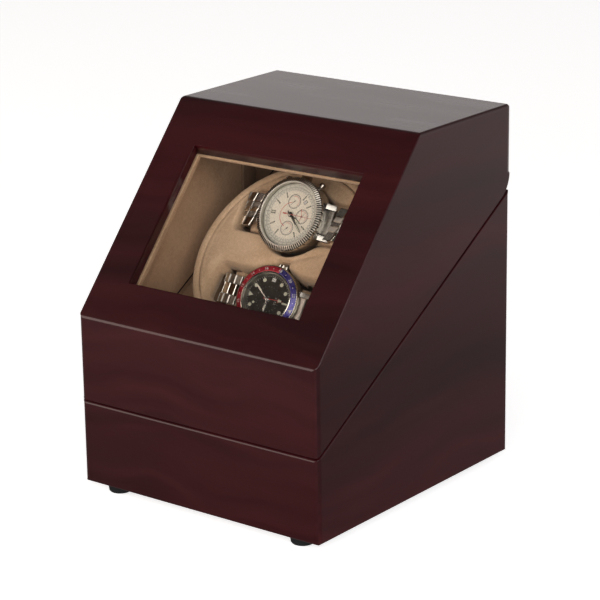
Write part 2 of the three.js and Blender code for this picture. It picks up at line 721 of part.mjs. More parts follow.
// The strap lies straight in its pocket; the head on it rolls about its crown's axis.
function buildWatch(watch) {
  const frame = watchFrame(watch);
  frame.updateMatrix();
  const head = new THREE.Group();
  head.rotation.y = watch.roll;
  head.updateMatrix();
  frame.add(head);
  buildWatchCase(watch, head);
  buildBracelet(watch, frame, head);
  return head;
}

function buildChrono() {
  const head = buildWatch(CHRONO);
  const { dial, caseRadius, crownEnd } = CHRONO;
  const hour = handPrism(dial * 0.5, 1.2, 2.5, 0.3, 0.6, 1.7, 118);
  addPart(head, "chrono_hour_hand", hour, [0x4a4a4c, 0.3, 1]);
  const minute = handPrism(dial * 0.78, 0.9, 3, 0.9, 1.2, 1.5, 132);
  addPart(head, "chrono_minute_hand", minute, [0x4a4a4c, 0.3, 1]);
  const seconds = handPrism(dial * 0.84, 0.4, 5, 1.4, 1.6, 1.2, 92);
  addPart(head, "chrono_seconds_hand", seconds, [0xa01818, 0.4]);
  const crown = flankKnob(0.9, 3.3, caseRadius + 0.4, crownEnd, 0);
  addPart(head, "chrono_crown", crown, STEEL);
  for (const [name, degrees] of CHRONO.pushers) {
    const pusher = flankKnob(0.9, 2.1, caseRadius + 1.8, crownEnd + 0.6, degrees);
    addPart(head, `chrono_${name}_pusher`, pusher, STEEL);
  }
}

function buildGmt() {
  const head = buildWatch(GMT);
  const { dial, caseRadius, crownEnd } = GMT;
  const hour = handPrism(dial * 0.52, 1.4, 2, 0.3, 0.6, 1.5, 180);
  addPart(head, "gmt_hour_hand", hour, [0xd8d8d4, 0.2, 1]);
  const minute = handPrism(dial * 0.8, 1.1, 2.4, 0.8, 1.0, 1.4, -55);
  addPart(head, "gmt_minute_hand", minute, [0xd8d8d4, 0.2, 1]);
  const day = handPrism(dial * 0.68, 0.7, 2.4, 1.3, 1.5, 1.3, 85);
  addPart(head, "gmt_24h_hand", day, [0xa01818, 0.4]);
  const crown = flankKnob(0.9, 2.9, caseRadius + 0.4, crownEnd, 0);
  addPart(head, "gmt_crown", crown, STEEL);
}

buildBase();
buildDeck();
buildPivots();
buildLidShell();
buildWindow();
buildLidLining();
buildDrive();
buildControls();
buildTurntable();
buildChrono();
buildGmt();

export default winder;
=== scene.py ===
import json
import math

import bmesh
import bpy
from mathutils import Matrix, Vector, noise


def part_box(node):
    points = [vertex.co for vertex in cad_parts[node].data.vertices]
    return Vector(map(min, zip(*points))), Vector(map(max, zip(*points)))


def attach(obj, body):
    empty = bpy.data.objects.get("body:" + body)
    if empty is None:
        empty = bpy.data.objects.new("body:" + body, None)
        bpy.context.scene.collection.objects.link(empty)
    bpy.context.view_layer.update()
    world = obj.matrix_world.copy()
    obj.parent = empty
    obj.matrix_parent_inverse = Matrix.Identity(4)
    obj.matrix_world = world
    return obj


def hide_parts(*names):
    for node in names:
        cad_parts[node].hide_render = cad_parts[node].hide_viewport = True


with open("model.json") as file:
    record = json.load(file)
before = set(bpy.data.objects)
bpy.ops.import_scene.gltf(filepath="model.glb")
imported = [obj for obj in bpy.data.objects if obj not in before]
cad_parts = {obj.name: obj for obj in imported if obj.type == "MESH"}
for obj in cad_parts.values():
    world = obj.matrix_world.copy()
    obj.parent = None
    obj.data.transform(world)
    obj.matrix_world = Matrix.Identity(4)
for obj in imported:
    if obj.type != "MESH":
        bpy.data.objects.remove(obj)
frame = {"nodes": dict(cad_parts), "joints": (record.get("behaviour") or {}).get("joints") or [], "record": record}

MM = 0.001
TAU = 2 * math.pi
nodes = frame["nodes"]
joints = {j["name"]: j for j in frame["joints"]}
node_body = {n: b for b, names in frame["record"]["behaviour"]["bodies"].items() for n in names}
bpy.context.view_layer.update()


# ---- frames
def basis(origin, x, y, z):
    made = Matrix((x, y, z)).transposed().to_4x4()
    made.translation = origin
    return made


def spin(degrees, axis):
    return Matrix.Rotation(math.radians(degrees), 4, axis)


def moved(x, y, z):
    return Matrix.Translation((x, y, z))


def joint_axis(name):
    return Vector(joints[name]["axis"]).normalized()


def joint_place(name):
    return Vector(joints[name]["pos_m"])


def watch_frame(watch):
    """Origin at the dial's centre, z out of the dial, y towards the crown."""
    out, crown = joint_axis(watch + "_minute_turn"), joint_axis(watch + "_crown_pull")
    return basis(joint_place(watch + "_minute_turn") - out * MM, crown.cross(out), crown, out)


ACROSS = Vector((1, 0, 0))
OUT = joint_axis("turntable_spin")
TABLE = basis(joint_place("turntable_spin"), ACROSS, OUT.cross(ACROSS), OUT)
CHRONO = watch_frame("chrono")
GMT = watch_frame("gmt")
WATCHES = {"chrono": CHRONO, "gmt": GMT}
# The lower watch's head is rolled about its crown's axis in degrees, and its strap isn't.
GMT_ROLL = 8
GMT_STRAP = GMT @ spin(-GMT_ROLL, "Y")


# ---- materials
BRIGHT_STEEL = (0.68, 0.65, 0.59)
FLUTES = 96
SUB_DIALS = ((0.0, 8.3), (8.3, 0.0), (0.0, -8.3))


class Tree:
    """A node tree, and short ways to add nodes to it."""

    def __init__(self, owner):
        owner.use_nodes = True
        self.tree = owner.node_tree

    def feed(self, socket, value):
        if isinstance(value, bpy.types.NodeSocket):
            self.tree.links.new(value, socket)
        else:
            socket.default_value = value

    def node(self, kind, inputs=None, **settings):
        made = self.tree.nodes.new(kind)
        for key, value in settings.items():
            setattr(made, key, value)
        for key, value in (inputs or {}).items():
            self.feed(made.inputs[key], value)
        return made

    def spread(self, value, low, high, to_low=0.0, to_high=1.0):
        """value from low..high to to_low..to_high, clamped."""
        inputs = {"Value": value, 1: low, 2: high, 3: to_low, 4: to_high}
        return self.node("ShaderNodeMapRange", inputs).outputs[0]


class Look(Tree):
    """A material with one Principled shader, and the noises and masks that drive it."""

    def __init__(self, name, color, roughness, metallic=0.0, **constants):
        self.material = bpy.data.materials.new(name)
        super().__init__(self.material)
        self.shader = self.tree.nodes["Principled BSDF"]
        self.set("Base Color", (*color, 1))
        self.set("Roughness", roughness)
        self.set("Metallic", metallic)
        for socket, value in constants.items():
            self.set(socket.replace("_", " "), value)
        self.coords = self.node("ShaderNodeTexCoord").outputs["Object"]

    def set(self, socket, value):
        self.feed(self.shader.inputs[socket], value)

    def math(self, operation, a, b=0.0):
        return self.node("ShaderNodeMath", {0: a, 1: b}, operation=operation).outputs[0]

    def times(self, a, b):
        return self.math("MULTIPLY", a, b)

    def minus(self, a, b):
        return self.math("SUBTRACT", a, b)

    def noise(self, scale, detail=3.0, stretch=(1, 1, 1), distortion=0.0, source=None):
        place = self.node("ShaderNodeMapping", {"Vector": source or self.coords, "Scale": stretch})
        inputs = {"Vector": place.outputs[0], "Scale": scale, "Detail": detail, "Distortion": distortion}
        return self.node("ShaderNodeTexNoise", inputs).outputs["Fac"]

    def cells(self, scale):
        inputs = {"Vector": self.coords, "Scale": scale}
        return self.node("ShaderNodeTexVoronoi", inputs).outputs["Distance"]

    def mix(self, factor, a, b):
        made = self.node("ShaderNodeMix", data_type="RGBA")
        for index, value in ((0, factor), (6, a), (7, b)):
            if isinstance(value, tuple) and len(value) == 3:
                value = (*value, 1)
            self.feed(made.inputs[index], value)
        return made.outputs[2]

    def blend(self, a, b, share):
        """A share of a and the rest of b."""
        return self.math("ADD", self.times(a, share), self.times(b, 1 - share))

    def tones(self, value, dark, light, low=0.35, high=0.65):
        """dark below low, light above high, for a noise around a half."""
        return self.mix(self.spread(value, low, high), dark, light)

    def paint(self, color):
        self.set("Base Color", color)

    def rough(self, value, least, most):
        self.set("Roughness", self.spread(value, 0.3, 0.7, least, most))

    def bump(self, height, distance, strength):
        inputs = {"Height": height, "Distance": distance, "Strength": strength}
        normal = self.shader.inputs["Normal"]
        if normal.is_linked:
            inputs["Normal"] = normal.links[0].from_socket
        self.set("Normal", self.node("ShaderNodeBump", inputs).outputs[0])

    def plane(self):
        """x and y in millimetres, for what is printed on a dial or a board."""
        split = self.node("ShaderNodeSeparateXYZ", {0: self.coords})
        return [self.times(split.outputs[i], 1000.0) for i in (0, 1)]

    def polar(self, cx=0.0, cy=0.0):
        x, y = self.plane()
        dx, dy = self.minus(x, cx), self.minus(y, cy)
        square = self.math("ADD", self.times(dx, dx), self.times(dy, dy))
        turn = self.math("DIVIDE", self.math("ARCTAN2", dy, dx), TAU)
        return self.math("SQRT", square), turn

    def between(self, value, low, high):
        above, below = self.math("GREATER_THAN", value, low), self.math("LESS_THAN", value, high)
        return self.times(above, below)

    def ticks(self, polar, count, duty, low, high):
        radius, turn = polar
        share = self.math("FRACT", self.math("ADD", self.times(turn, float(count)), 0.5))
        line = self.math("LESS_THAN", self.math("ABSOLUTE", self.minus(share, 0.5)), duty / 2)
        return self.times(line, self.between(radius, low, high))

    def arc(self, polar, low, high, start, end):
        """A band of a ring from start to end in turns, from -0.5 to 0.5."""
        radius, turn = polar
        return self.times(self.between(radius, low, high), self.between(turn, start, end))

    def any(self, *masks):
        total = masks[0]
        for mask in masks[1:]:
            total = self.math("MAXIMUM", total, mask)
        return total


def lacquer(name, grain, coat=1.0):
    """High-gloss cherry stain over a veneer whose grain runs along the stretch's small axis."""
    gloss = {"Coat_Weight": coat, "Coat_Roughness": 0.045, "Coat_IOR": 1.38}
    look = Look(name, (0.03, 0.004, 0.006), 0.45, Specular_IOR_Level=0.15, **gloss)
    inputs = {0: look.noise(9, 2), 1: (0.016, 0.016, 0.045), 2: look.coords}
    wander = look.node("ShaderNodeVectorMath", inputs, operation="MULTIPLY_ADD").outputs[0]
    veneer = look.noise(1.0, 4, tuple(14 * g + 2 for g in grain), 0.4, wander)
    streak = look.noise(1.0, 5, tuple(90 * g + 4 for g in grain), 0.2, wander)
    pores = look.noise(1.0, 3, tuple(1300 * g + 40 for g in grain), 0.0, wander)
    tone = look.blend(veneer, streak, 0.6)
    ground = look.tones(tone, (0.0135, 0.0010, 0.0016), (0.039, 0.0030, 0.0046), 0.34, 0.66)
    look.paint(look.mix(look.spread(pores, 0.25, 0.5, 0.35, 0.0), ground, (0.016, 0.002, 0.003)))
    look.rough(streak, 0.38, 0.5)
    look.bump(look.noise(14, 2), 0.0006, 0.05)
    return look.material


def suede(name, dark, light):
    sheen = {"Sheen_Weight": 0.35, "Sheen_Roughness": 0.45, "Sheen_Tint": (1.0, 0.92, 0.8, 1)}
    look = Look(name, light, 0.95, Specular_IOR_Level=0.2, **sheen)
    brushed = look.noise(22, 3, distortion=1.2)
    nap = look.noise(620, 4)
    fibre = look.noise(2600, 2)
    ground = look.tones(look.blend(brushed, nap, 0.55), dark, light, 0.34, 0.66)
    look.paint(look.mix(look.spread(fibre, 0.3, 0.6, 0.16, 0.0), ground, dark))
    look.rough(nap, 0.88, 1.0)
    look.bump(fibre, 0.00012, 0.5)
    look.bump(nap, 0.0003, 0.35)
    return look.material


def steel(name, color, roughness, stretch, strength=0.2):
    """Polished or brushed steel: fine lines run along the stretch's small axis."""
    look = Look(name, color, roughness, 1.0)
    lines = look.noise(1.0, 3, stretch)
    smudge = look.noise(160, 2)
    look.rough(look.blend(lines, smudge, 0.6), roughness * 0.7, roughness * 1.35)
    look.paint(look.tones(smudge, tuple(c * 0.82 for c in color), color))
    look.bump(lines, 0.00004, strength)
    return look.material


def fluted_steel():
    """Polished steel of a coin edge, with painted shade in the grooves between its teeth."""
    look = Look("watch_steel_fluted", BRIGHT_STEEL, 0.16, 1.0)
    grooves = look.ticks(look.polar(), FLUTES, 0.46, 20.3, 22.9)
    smudge = look.noise(160, 2)
    bright = look.tones(smudge, tuple(c * 0.85 for c in BRIGHT_STEEL), BRIGHT_STEEL)
    # Painted shade: the grooves between the teeth are coloured near black.
    look.paint(look.mix(grooves, bright, (0.045, 0.04, 0.032)))
    look.rough(smudge, 0.3, 0.42)
    look.bump(look.minus(1.0, grooves), 0.0002, 0.6)
    return look.material


def grainy(name, dark, light, roughness, scale, depth, **constants):
    """Moulded, sawn or coated matter: two tones in a grain of one size, with its bump."""
    look = Look(name, light, roughness, **constants)
    grain = look.noise(scale, 5)
    blotch = look.noise(scale * 0.06, 3)
    look.paint(look.tones(look.blend(grain, blotch, 0.5), dark, light))
    look.rough(grain, roughness * 0.85, min(1.0, roughness * 1.15))
    look.bump(grain, depth, 0.5)
    return look.material


def zinc_sheet():
    look = Look("zinc_sheet", (0.55, 0.56, 0.57), 0.4, 1.0)
    spangle = look.cells(140)
    mottle = look.noise(300, 3)
    look.paint(look.tones(spangle, (0.62, 0.63, 0.64), (0.42, 0.43, 0.45), 0.1, 0.7))
    look.rough(mottle, 0.32, 0.5)
    look.bump(mottle, 0.00005, 0.4)
    return look.material


def pine():
    look = Look("cleat_wood", (0.5, 0.33, 0.18), 0.7)
    rings = look.noise(1.0, 4, (12, 260, 260), 0.5)
    pores = look.noise(1.0, 2, (60, 1500, 1500))
    ground = look.tones(rings, (0.30, 0.17, 0.08), (0.55, 0.37, 0.2))
    look.paint(look.mix(look.spread(pores, 0.25, 0.5, 0.3, 0.0), ground, (0.2, 0.11, 0.05)))
    look.bump(pores, 0.0001, 0.5)
    return look.material


def board_green():
    look = Look("circuit_board", (0.02, 0.16, 0.06), 0.35)
    x, y = look.plane()
    wave = look.math("SINE", look.times(x, 2.1))
    cross = look.math("SINE", look.times(look.math("ADD", y, wave), 2.6))
    tracks = look.math("GREATER_THAN", cross, 0.55)
    look.paint(look.mix(tracks, (0.012, 0.11, 0.04), (0.03, 0.22, 0.08)))
    look.bump(tracks, 0.00006, 0.5)
    return look.material


def window_clear(name, tint, index):
    """Thin clear glass: light passes straight through, and the surface mirrors by its angle."""
    look = Look(name, tint, 0.0)
    clear = look.node("ShaderNodeBsdfTransparent", {"Color": (*tint, 1)})
    smear = look.spread(look.noise(35, 3), 0.35, 0.7, 0.0, 0.03)
    mirror = look.node("ShaderNodeBsdfGlossy", {"Color": (1, 1, 1, 1), "Roughness": smear})
    facing = look.node("ShaderNodeLayerWeight", {"Blend": 0.5}).outputs["Facing"]
    least = ((index - 1) / (index + 1)) ** 2
    share = look.spread(look.math("POWER", facing, 5.0), 0.0, 1.0, least, 1.0)
    mixed = look.node("ShaderNodeMixShader", {0: share, 1: clear.outputs[0], 2: mirror.outputs[0]})
    look.feed(look.tree.nodes["Material Output"].inputs["Surface"], mixed.outputs[0])
    look.tree.nodes.remove(look.shader)
    return look.material


def cream_print():
    """Chronograph dial: silvered cream with fine printed rings, scales and red arcs."""
    look = Look("cream_dial_print", (0.85, 0.79, 0.68), 0.36, Coat_Weight=0.2)
    centre = look.polar()
    radius = centre[0]
    fleck = look.noise(900, 3)
    silver = look.tones(fleck, (0.79, 0.735, 0.635), (0.88, 0.835, 0.735))
    silver = look.mix(look.spread(radius, 14.6, 15.6, 0.0, 0.45), silver, (0.58, 0.60, 0.56))
    dark = look.any(
        look.ticks(centre, 180, 0.42, 18.3, 19.1),
        look.ticks(centre, 36, 0.10, 17.5, 19.1),
        look.ticks(centre, 120, 0.40, 16.5, 17.2),
        look.ticks(centre, 48, 0.34, 15.85, 16.25),
        look.ticks(centre, 60, 0.16, 14.7, 15.3),
        look.between(radius, 17.28, 17.42),
        look.between(radius, 15.42, 15.54),
        look.ticks(centre, 150, 0.5, 19.7, 20.1),
    )
    red = look.any(
        look.arc(centre, 7.55, 7.95, 0.28, 0.5),
        look.arc(centre, 7.55, 7.95, -0.5, -0.30),
        look.arc(centre, 7.55, 7.95, -0.06, 0.1),
    )
    for cx, cy in SUB_DIALS:
        small = look.polar(cx, cy)
        dark = look.any(dark, look.between(small[0], 4.15, 4.3), look.ticks(small, 30, 0.3, 3.5, 4.1))
        red = look.any(red, look.arc(small, 3.1, 3.35, -0.12, 0.33))
    ink = look.mix(look.times(dark, 0.8), silver, (0.07, 0.07, 0.075))
    look.paint(look.mix(look.times(red, 0.8), ink, (0.62, 0.07, 0.05)))
    look.rough(fleck, 0.26, 0.4)
    look.bump(look.minus(1.0, dark), 0.00002, 0.3)
    return look.material


def black_print():
    """The lower watch's dial: black, with a minute track and a few short marks."""
    look = Look("black_dial_print", (0.012, 0.012, 0.013), 0.3, Specular_IOR_Level=0.25)
    centre = look.polar()
    marks = look.any(
        look.ticks(centre, 60, 0.14, 13.45, 14.05),
        look.ticks(centre, 12, 0.05, 13.0, 14.05),
        look.ticks(centre, 24, 0.035, 7.3, 7.9),
    )
    cloud = look.noise(240, 3)
    ground = look.tones(cloud, (0.026, 0.022, 0.018), (0.048, 0.041, 0.033))
    look.paint(look.mix(marks, ground, (0.7, 0.69, 0.64)))
    look.rough(cloud, 0.16, 0.26)
    look.bump(marks, 0.00002, 0.3)
    return look.material


def two_colour_insert(turn):
    """Anodised bezel ring: blue on the half of the marker, which is at turn, and red on the other."""
    look = Look("bezel_insert", (0.3, 0.02, 0.03), 0.3, 0.55, Coat_Weight=0.6)
    x, y = look.plane()
    along, across = look.times(x, math.cos(turn)), look.times(y, math.sin(turn))
    half = look.math("GREATER_THAN", look.math("ADD", along, across), 0.0)
    fade = look.noise(500, 3)
    red = look.tones(fade, (0.42, 0.012, 0.03), (0.62, 0.03, 0.06))
    blue = look.tones(fade, (0.04, 0.033, 0.21), (0.07, 0.055, 0.31))
    look.paint(look.mix(half, red, blue))
    look.rough(fade, 0.24, 0.38)
    return look.material


LOOKS = {
    "lacquer_front": lacquer("lacquer_grain_across", (0.0, 1.0, 1.0)),
    "lacquer_side": lacquer("lacquer_grain_back", (1.0, 0.0, 1.0)),
    "lacquer_reveal": lacquer("lacquer_window_reveal", (0.0, 1.0, 1.0), 0.55),
    "suede": suede("suede", (0.42, 0.275, 0.165), (0.60, 0.42, 0.275)),
    "suede_pad": suede("suede_pad", (0.52, 0.355, 0.22), (0.71, 0.515, 0.355)),
    # A darker copy of the same suede, as painted shade, for the parts that sit in shade inside: the lid's linings,
    # the deck, the pocket tray, the base's inner walls and the window frame's inner edges.
    "suede_painted_shade": suede("darker_suede_for_shade", (0.325, 0.205, 0.124), (0.48, 0.308, 0.190)),
    "board": grainy("underside_board", (0.02, 0.017, 0.014), (0.055, 0.046, 0.037), 0.85, 700, 0.00015),
    "rubber": grainy(
        "rubber", (0.004, 0.004, 0.004), (0.011, 0.011, 0.012), 0.75, 1600, 0.0001, Specular_IOR_Level=0.2,
    ),
    "plastic": grainy("black_plastic", (0.010, 0.010, 0.011), (0.022, 0.022, 0.024), 0.42, 2400, 0.00006),
    "nylon": grainy(
        "nylon", (0.66, 0.62, 0.52), (0.80, 0.77, 0.68), 0.45, 900, 0.00004, Subsurface_Weight=0.1,
    ),
    "glass": window_clear("window_glass", (0.975, 0.96, 0.94), 1.36),
    "crystal": window_clear("crystal", (0.985, 0.985, 0.98), 1.33),
    "plated": steel("plated_steel", (0.62, 0.62, 0.61), 0.28, (60, 900, 900)),
    "brass": steel("brass", (0.72, 0.50, 0.22), 0.3, (900, 60, 900)),
    "zinc": zinc_sheet(),
    "paint": grainy("tan_paint", (0.15, 0.09, 0.055), (0.24, 0.15, 0.09), 0.6, 1500, 0.00006),
    "pine": pine(),
    "pcb": board_green(),
    "polished": steel("watch_steel_polished", BRIGHT_STEEL, 0.12, (200, 200, 2500), 0.04),
    "fluted": fluted_steel(),
    "brushed": steel("watch_steel_brushed", (0.56, 0.545, 0.51), 0.32, (60, 3200, 900), 0.3),
    "hand_steel": steel("steel_hands", (0.60, 0.60, 0.60), 0.16, (400, 400, 400), 0.04),
    "hand_dark": steel("dark_hands", (0.17, 0.165, 0.155), 0.3, (400, 400, 400), 0.04),
    "hand_red": grainy("red_hands", (0.42, 0.02, 0.02), (0.62, 0.04, 0.03), 0.35, 1500, 0.00002),
    "lume": grainy("lume", (0.66, 0.66, 0.50), (0.80, 0.80, 0.64), 0.6, 2000, 0.00003),
    "ink_black": grainy("ink_black", (0.02, 0.02, 0.022), (0.04, 0.04, 0.042), 0.35, 1500, 0.00002),
    "ink_white": grainy("ink_white", (0.72, 0.72, 0.70), (0.84, 0.84, 0.82), 0.4, 1500, 0.00002),
    "cream": cream_print(),
    "black": black_print(),
}


# ---- pieces
def new_object(name, data):
    made = bpy.data.objects.new(name, data)
    bpy.context.scene.collection.objects.link(made)
    return made


def declare(piece, node):
    """The piece stands for a CAD node: it moves with the node's body, and the node is hidden."""
    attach(piece, node_body[node])
    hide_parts(node)


def smooth(mesh, angle=35.0):
    mesh.shade_smooth()
    mesh.set_sharp_from_angle(angle=math.radians(angle))


def piece_of(node, mesh, matrix=None, angle=35.0):
    made = new_object(mesh.name, mesh)
    if matrix is not None:
        made.matrix_world = matrix
    smooth(mesh, angle)
    declare(made, node)
    return made


class Form:
    """Vertices in millimetres and faces, gathered from simple shapes, each with a look of its own."""

    def __init__(self):
        self.verts, self.faces, self.kinds, self.looks = [], [], [], []

    def add(self, shape, look, matrix=None):
        if look not in self.looks:
            self.looks.append(look)
        base = len(self.verts)
        verts, faces = shape
        place = matrix or Matrix.Identity(4)
        self.verts += [place @ Vector(v) for v in verts]
        self.faces += [[base + i for i in face] for face in faces]
        self.kinds += [self.looks.index(look)] * len(faces)
        return self

    def make(self, node, ending, matrix, angle=35.0):
        mesh = bpy.data.meshes.new(f"{node}_{ending}")
        mesh.from_pydata([v * MM for v in self.verts], [], self.faces)
        for look in self.looks:
            mesh.materials.append(look if isinstance(look, bpy.types.Material) else LOOKS[look])
        mesh.polygons.foreach_set("material_index", self.kinds)
        work = bmesh.new()
        work.from_mesh(mesh)
        bmesh.ops.recalc_face_normals(work, faces=work.faces)
        work.to_mesh(mesh)
        work.free()
        return piece_of(node, mesh, matrix, angle)


def lathe(profile, segments, wave=None, closed=False):
    """Turned about z from (radius, height) points; wave(index, step) adds to a radius."""
    verts, faces, rings = [], [], []
    for index, (radius, height) in enumerate(profile):
        if radius < 1e-6:
            rings.append([len(verts)] * segments)
            verts.append((0, 0, height))
            continue
        rings.append(list(range(len(verts), len(verts) + segments)))
        for step in range(segments):
            angle, reach = TAU * step / segments, radius + (wave(index, step) if wave else 0)
            verts.append((reach * math.cos(angle), reach * math.sin(angle), height))
    pairs = list(zip(rings, rings[1:])) + ([(rings[-1], rings[0])] if closed else [])
    for low, high in pairs:
        for step in range(segments):
            after = (step + 1) % segments
            corners = [low[step], low[after], high[after], high[step]]
            faces.append([c for i, c in enumerate(corners) if c != corners[i - 1]])
    return verts, faces


def ring(profile, segments, wave=None):
    """A profile that closes on itself, turned about z."""
    return lathe(profile, segments, wave, closed=True)


def every_other_pair(step):
    """1 for two steps, 0 for the next two: a tooth and a groove in four steps."""
    return step % 4 in (0, 1)


def loft(sections):
    """A solid through sections that have the same number of points, closed at its two ends."""
    count = len(sections[0])
    verts = [point for section in sections for point in section]
    faces = [list(range(count))[::-1], [len(verts) - count + k for k in range(count)]]
    for base in range(0, len(verts) - count, count):
        for k in range(count):
            after = (k + 1) % count
            faces.append([base + k, base + after, base + count + after, base + count + k])
    return verts, faces


def inset(points, depth):
    """A convex outline moved inwards by depth."""
    made = []
    for index, (x, y) in enumerate(points):
        before, after = Vector(points[index - 1]), Vector(points[(index + 1) % len(points)])
        here = Vector((x, y))
        into, out = (here - before).normalized(), (after - here).normalized()
        sides = Vector((-into.y, into.x)), Vector((-out.y, out.x))
        middle = (sides[0] + sides[1]).normalized()
        made.append(tuple(here + middle * depth / max(0.4, middle.dot(sides[0]))))
    return made


def slab(points, low, high, bevel=0.0):
    """A convex outline, anticlockwise, raised from low to high with its edges broken by bevel."""
    layers = [(points, low), (points, high)]
    if bevel:
        small = inset(points, bevel)
        layers = [(small, low), (points, low + bevel), (points, high - bevel), (small, high)]
    return loft([[(x, y, z) for x, y in outline] for outline, z in layers])


def brick(low, high, bevel, shear=0.0):
    """A box with broken edges. shear slides it along x by its y."""
    (x0, y0, z0), (x1, y1, z1) = low, high
    middle = (y0 + y1) / 2
    points = [(x0, y0), (x1, y0), (x1, y1), (x0, y1)]
    return slab([(x + shear * (y - middle), y) for x, y in points], z0, z1, bevel)


def disc(radius, count):
    return [(radius * math.cos(TAU * i / count), radius * math.sin(TAU * i / count)) for i in range(count)]


def turned(degrees, x=0.0, y=0.0, z=0.0):
    """Turns about z, and then a move outwards in the turned frame."""
    return spin(degrees, "Z") @ moved(x, y, z)


# ---- refined copies of CAD nodes
def joined_copy(node):
    """A CAD node's mesh with its vertices joined."""
    work = bmesh.new()
    work.from_mesh(nodes[node].data)
    bmesh.ops.remove_doubles(work, verts=work.verts, dist=2e-6)
    return work


def clean_copy(node):
    """A CAD node's mesh with its flat faces whole and its vertices joined."""
    work = joined_copy(node)
    bmesh.ops.dissolve_limit(work, angle_limit=math.radians(0.4), verts=work.verts, edges=work.edges)
    return work


def mesh_of(work, name):
    mesh = bpy.data.meshes.new(name)
    work.to_mesh(mesh)
    work.free()
    return mesh


def sharp_edges(work):
    limit = math.radians(28)
    return [e for e in work.edges if len(e.link_faces) == 2 and e.calc_face_angle(0) > limit]


def refine(node, look, bevel, segments=2, ending="made"):
    """Stands for a CAD node with the same shape, its edges broken as on the real piece."""
    work = clean_copy(node)
    bmesh.ops.bevel(
        work, geom=sharp_edges(work), offset=bevel * MM, offset_type="OFFSET", segments=segments,
        profile=0.5, affect="EDGES", clamp_overlap=True,
    )
    bmesh.ops.triangulate(work, faces=[f for f in work.faces if len(f.verts) > 4])
    mesh = mesh_of(work, f"{node}_{ending}")
    mesh.materials.append(LOOKS[look])
    return piece_of(node, mesh)


def cabinet(node):
    """A lacquered case: wide rounds on its upright corners, and small ones on its other outer edges."""
    corner, top, edge = 3.6, 2.2, 1.0
    skin, wall, reveal_depth = 4 * MM, 6 * MM, 7.5 * MM
    work = clean_copy(node)
    low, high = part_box(node)
    slant = max(OUT.dot(v.co) for v in work.verts)

    def outside(point, margin):
        return abs(point.x) > high.x - margin or not low.y + margin < point.y < high.y - margin

    def round_of(a, b):
        on_side = abs(a.x) > high.x - 1e-5 and abs(b.x) > high.x - 1e-5
        upright = abs(a.x - b.x) + abs(a.y - b.y) < 1e-5
        if on_side and upright and min(abs(a.y - low.y), abs(a.y - high.y)) < 1e-5:
            return corner
        if node == "lid_shell" and min(a.z, b.z) > high.z - 1e-5:
            return top
        if outside(a, skin) or outside(b, skin):
            return edge
        return edge if min(OUT.dot(a), OUT.dot(b)) > slant - 1e-5 else 0.0

    layer = work.edges.layers.float.new("bevel_weight_edge")
    for e in sharp_edges(work):
        e[layer] = round_of(e.verts[0].co, e.verts[1].co) / corner
    for f in work.faces:
        middle = f.calc_center_median()
        f.material_index = 1 if abs(f.normal.x) > 0.7 else 0
        # The base's inner walls take the darker suede: painted shade.
        if node == "base_case" and abs(f.normal.z) < 0.1 and not outside(middle, wall):
            f.material_index = 2
        reveal = abs(f.normal.dot(OUT)) < 0.9 and OUT.dot(middle) > slant - reveal_depth
        if node == "lid_shell" and reveal and not outside(middle, wall):
            f.material_index = 3
    mesh = mesh_of(work, node + "_lacquered")
    for look in ("lacquer_front", "lacquer_side", "suede_painted_shade", "lacquer_reveal"):
        mesh.materials.append(LOOKS[look])
    rounds = piece_of(node, mesh, angle=30).modifiers.new("rounds", "BEVEL")
    rounds.limit_method = "WEIGHT"
    rounds.width = corner * MM
    rounds.segments = 4
    rounds.use_clamp_overlap = False
    rounds.harden_normals = True


# ---- case, lid and feet
cabinet("base_case")
cabinet("lid_shell")
nodes["window_glass"].data.materials[0] = LOOKS["glass"]
# The lid's linings and the deck are in the darker suede: painted shade.
for side in ("left", "right"):
    refine("lid_lining_" + side, "suede_painted_shade", 0.6, 3)
for part in ("top", "rear", "front"):
    refine("lid_lining_" + part, "suede_painted_shade", 0.5, 3)
refine("deck_panel", "suede_painted_shade", 0.9, 3)
frame_board = refine("glazing_frame", "suede", 0.3)
# The frame's inner edges take the darker suede: painted shade, so only a thin band of its face reads as lit.
frame_board.data.materials.append(LOOKS["suede_painted_shade"])
for face in frame_board.data.polygons:
    face.material_index = 1 if abs(face.normal.dot(OUT)) < 0.3 else 0
refine("bottom_panel", "board", 0.6)
FOOT_PROFILE = [
    (0, 0.9), (2.3, 0.9), (2.5, 0.5), (2.5, 0.0), (5.3, 0.0), (6.3, 0.3), (7.0, 1.1),
    (7.2, 2.6), (7.45, 3.6), (7.45, 5.8), (0, 5.8),
]
for place in ("front_left", "front_right", "back_left", "back_right"):
    node = "foot_" + place
    low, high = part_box(node)
    foot = Form().add(lathe(FOOT_PROFILE, 40), "rubber")
    foot.add(lathe([(0, 0.95), (1.3, 0.95), (1.6, 1.2), (1.6, 1.5)], 20), "plated")
    foot.make(node, "rubber", moved((low.x + high.x) / 2, (low.y + high.y) / 2, low.z))


# ---- pivots, drive and controls
for side in ("left", "right"):
    refine("pivot_bracket_" + side, "paint", 0.3)
    refine("pivot_pin_" + side, "plated", 0.25)
    refine("pivot_bush_" + side, "brass", 0.2)
    refine("cleat_" + side, "pine", 0.5)
refine("chassis_plate", "zinc", 0.3)
refine("spindle_bush", "brass", 0.3)
refine("spindle", "plated", 0.3)
refine("gearmotor", "zinc", 0.6)
refine("motor_pinion", "nylon", 0.12, 1)
refine("drive_gear", "nylon", 0.15, 1)
# The pocket tray is in the darker suede: painted shade.
refine("pocket_tray", "suede_painted_shade", 0.3)
refine("control_board", "pcb", 0.15, 1)
refine("control_panel", "plastic", 0.3)
refine("dc_socket", "plastic", 0.25)


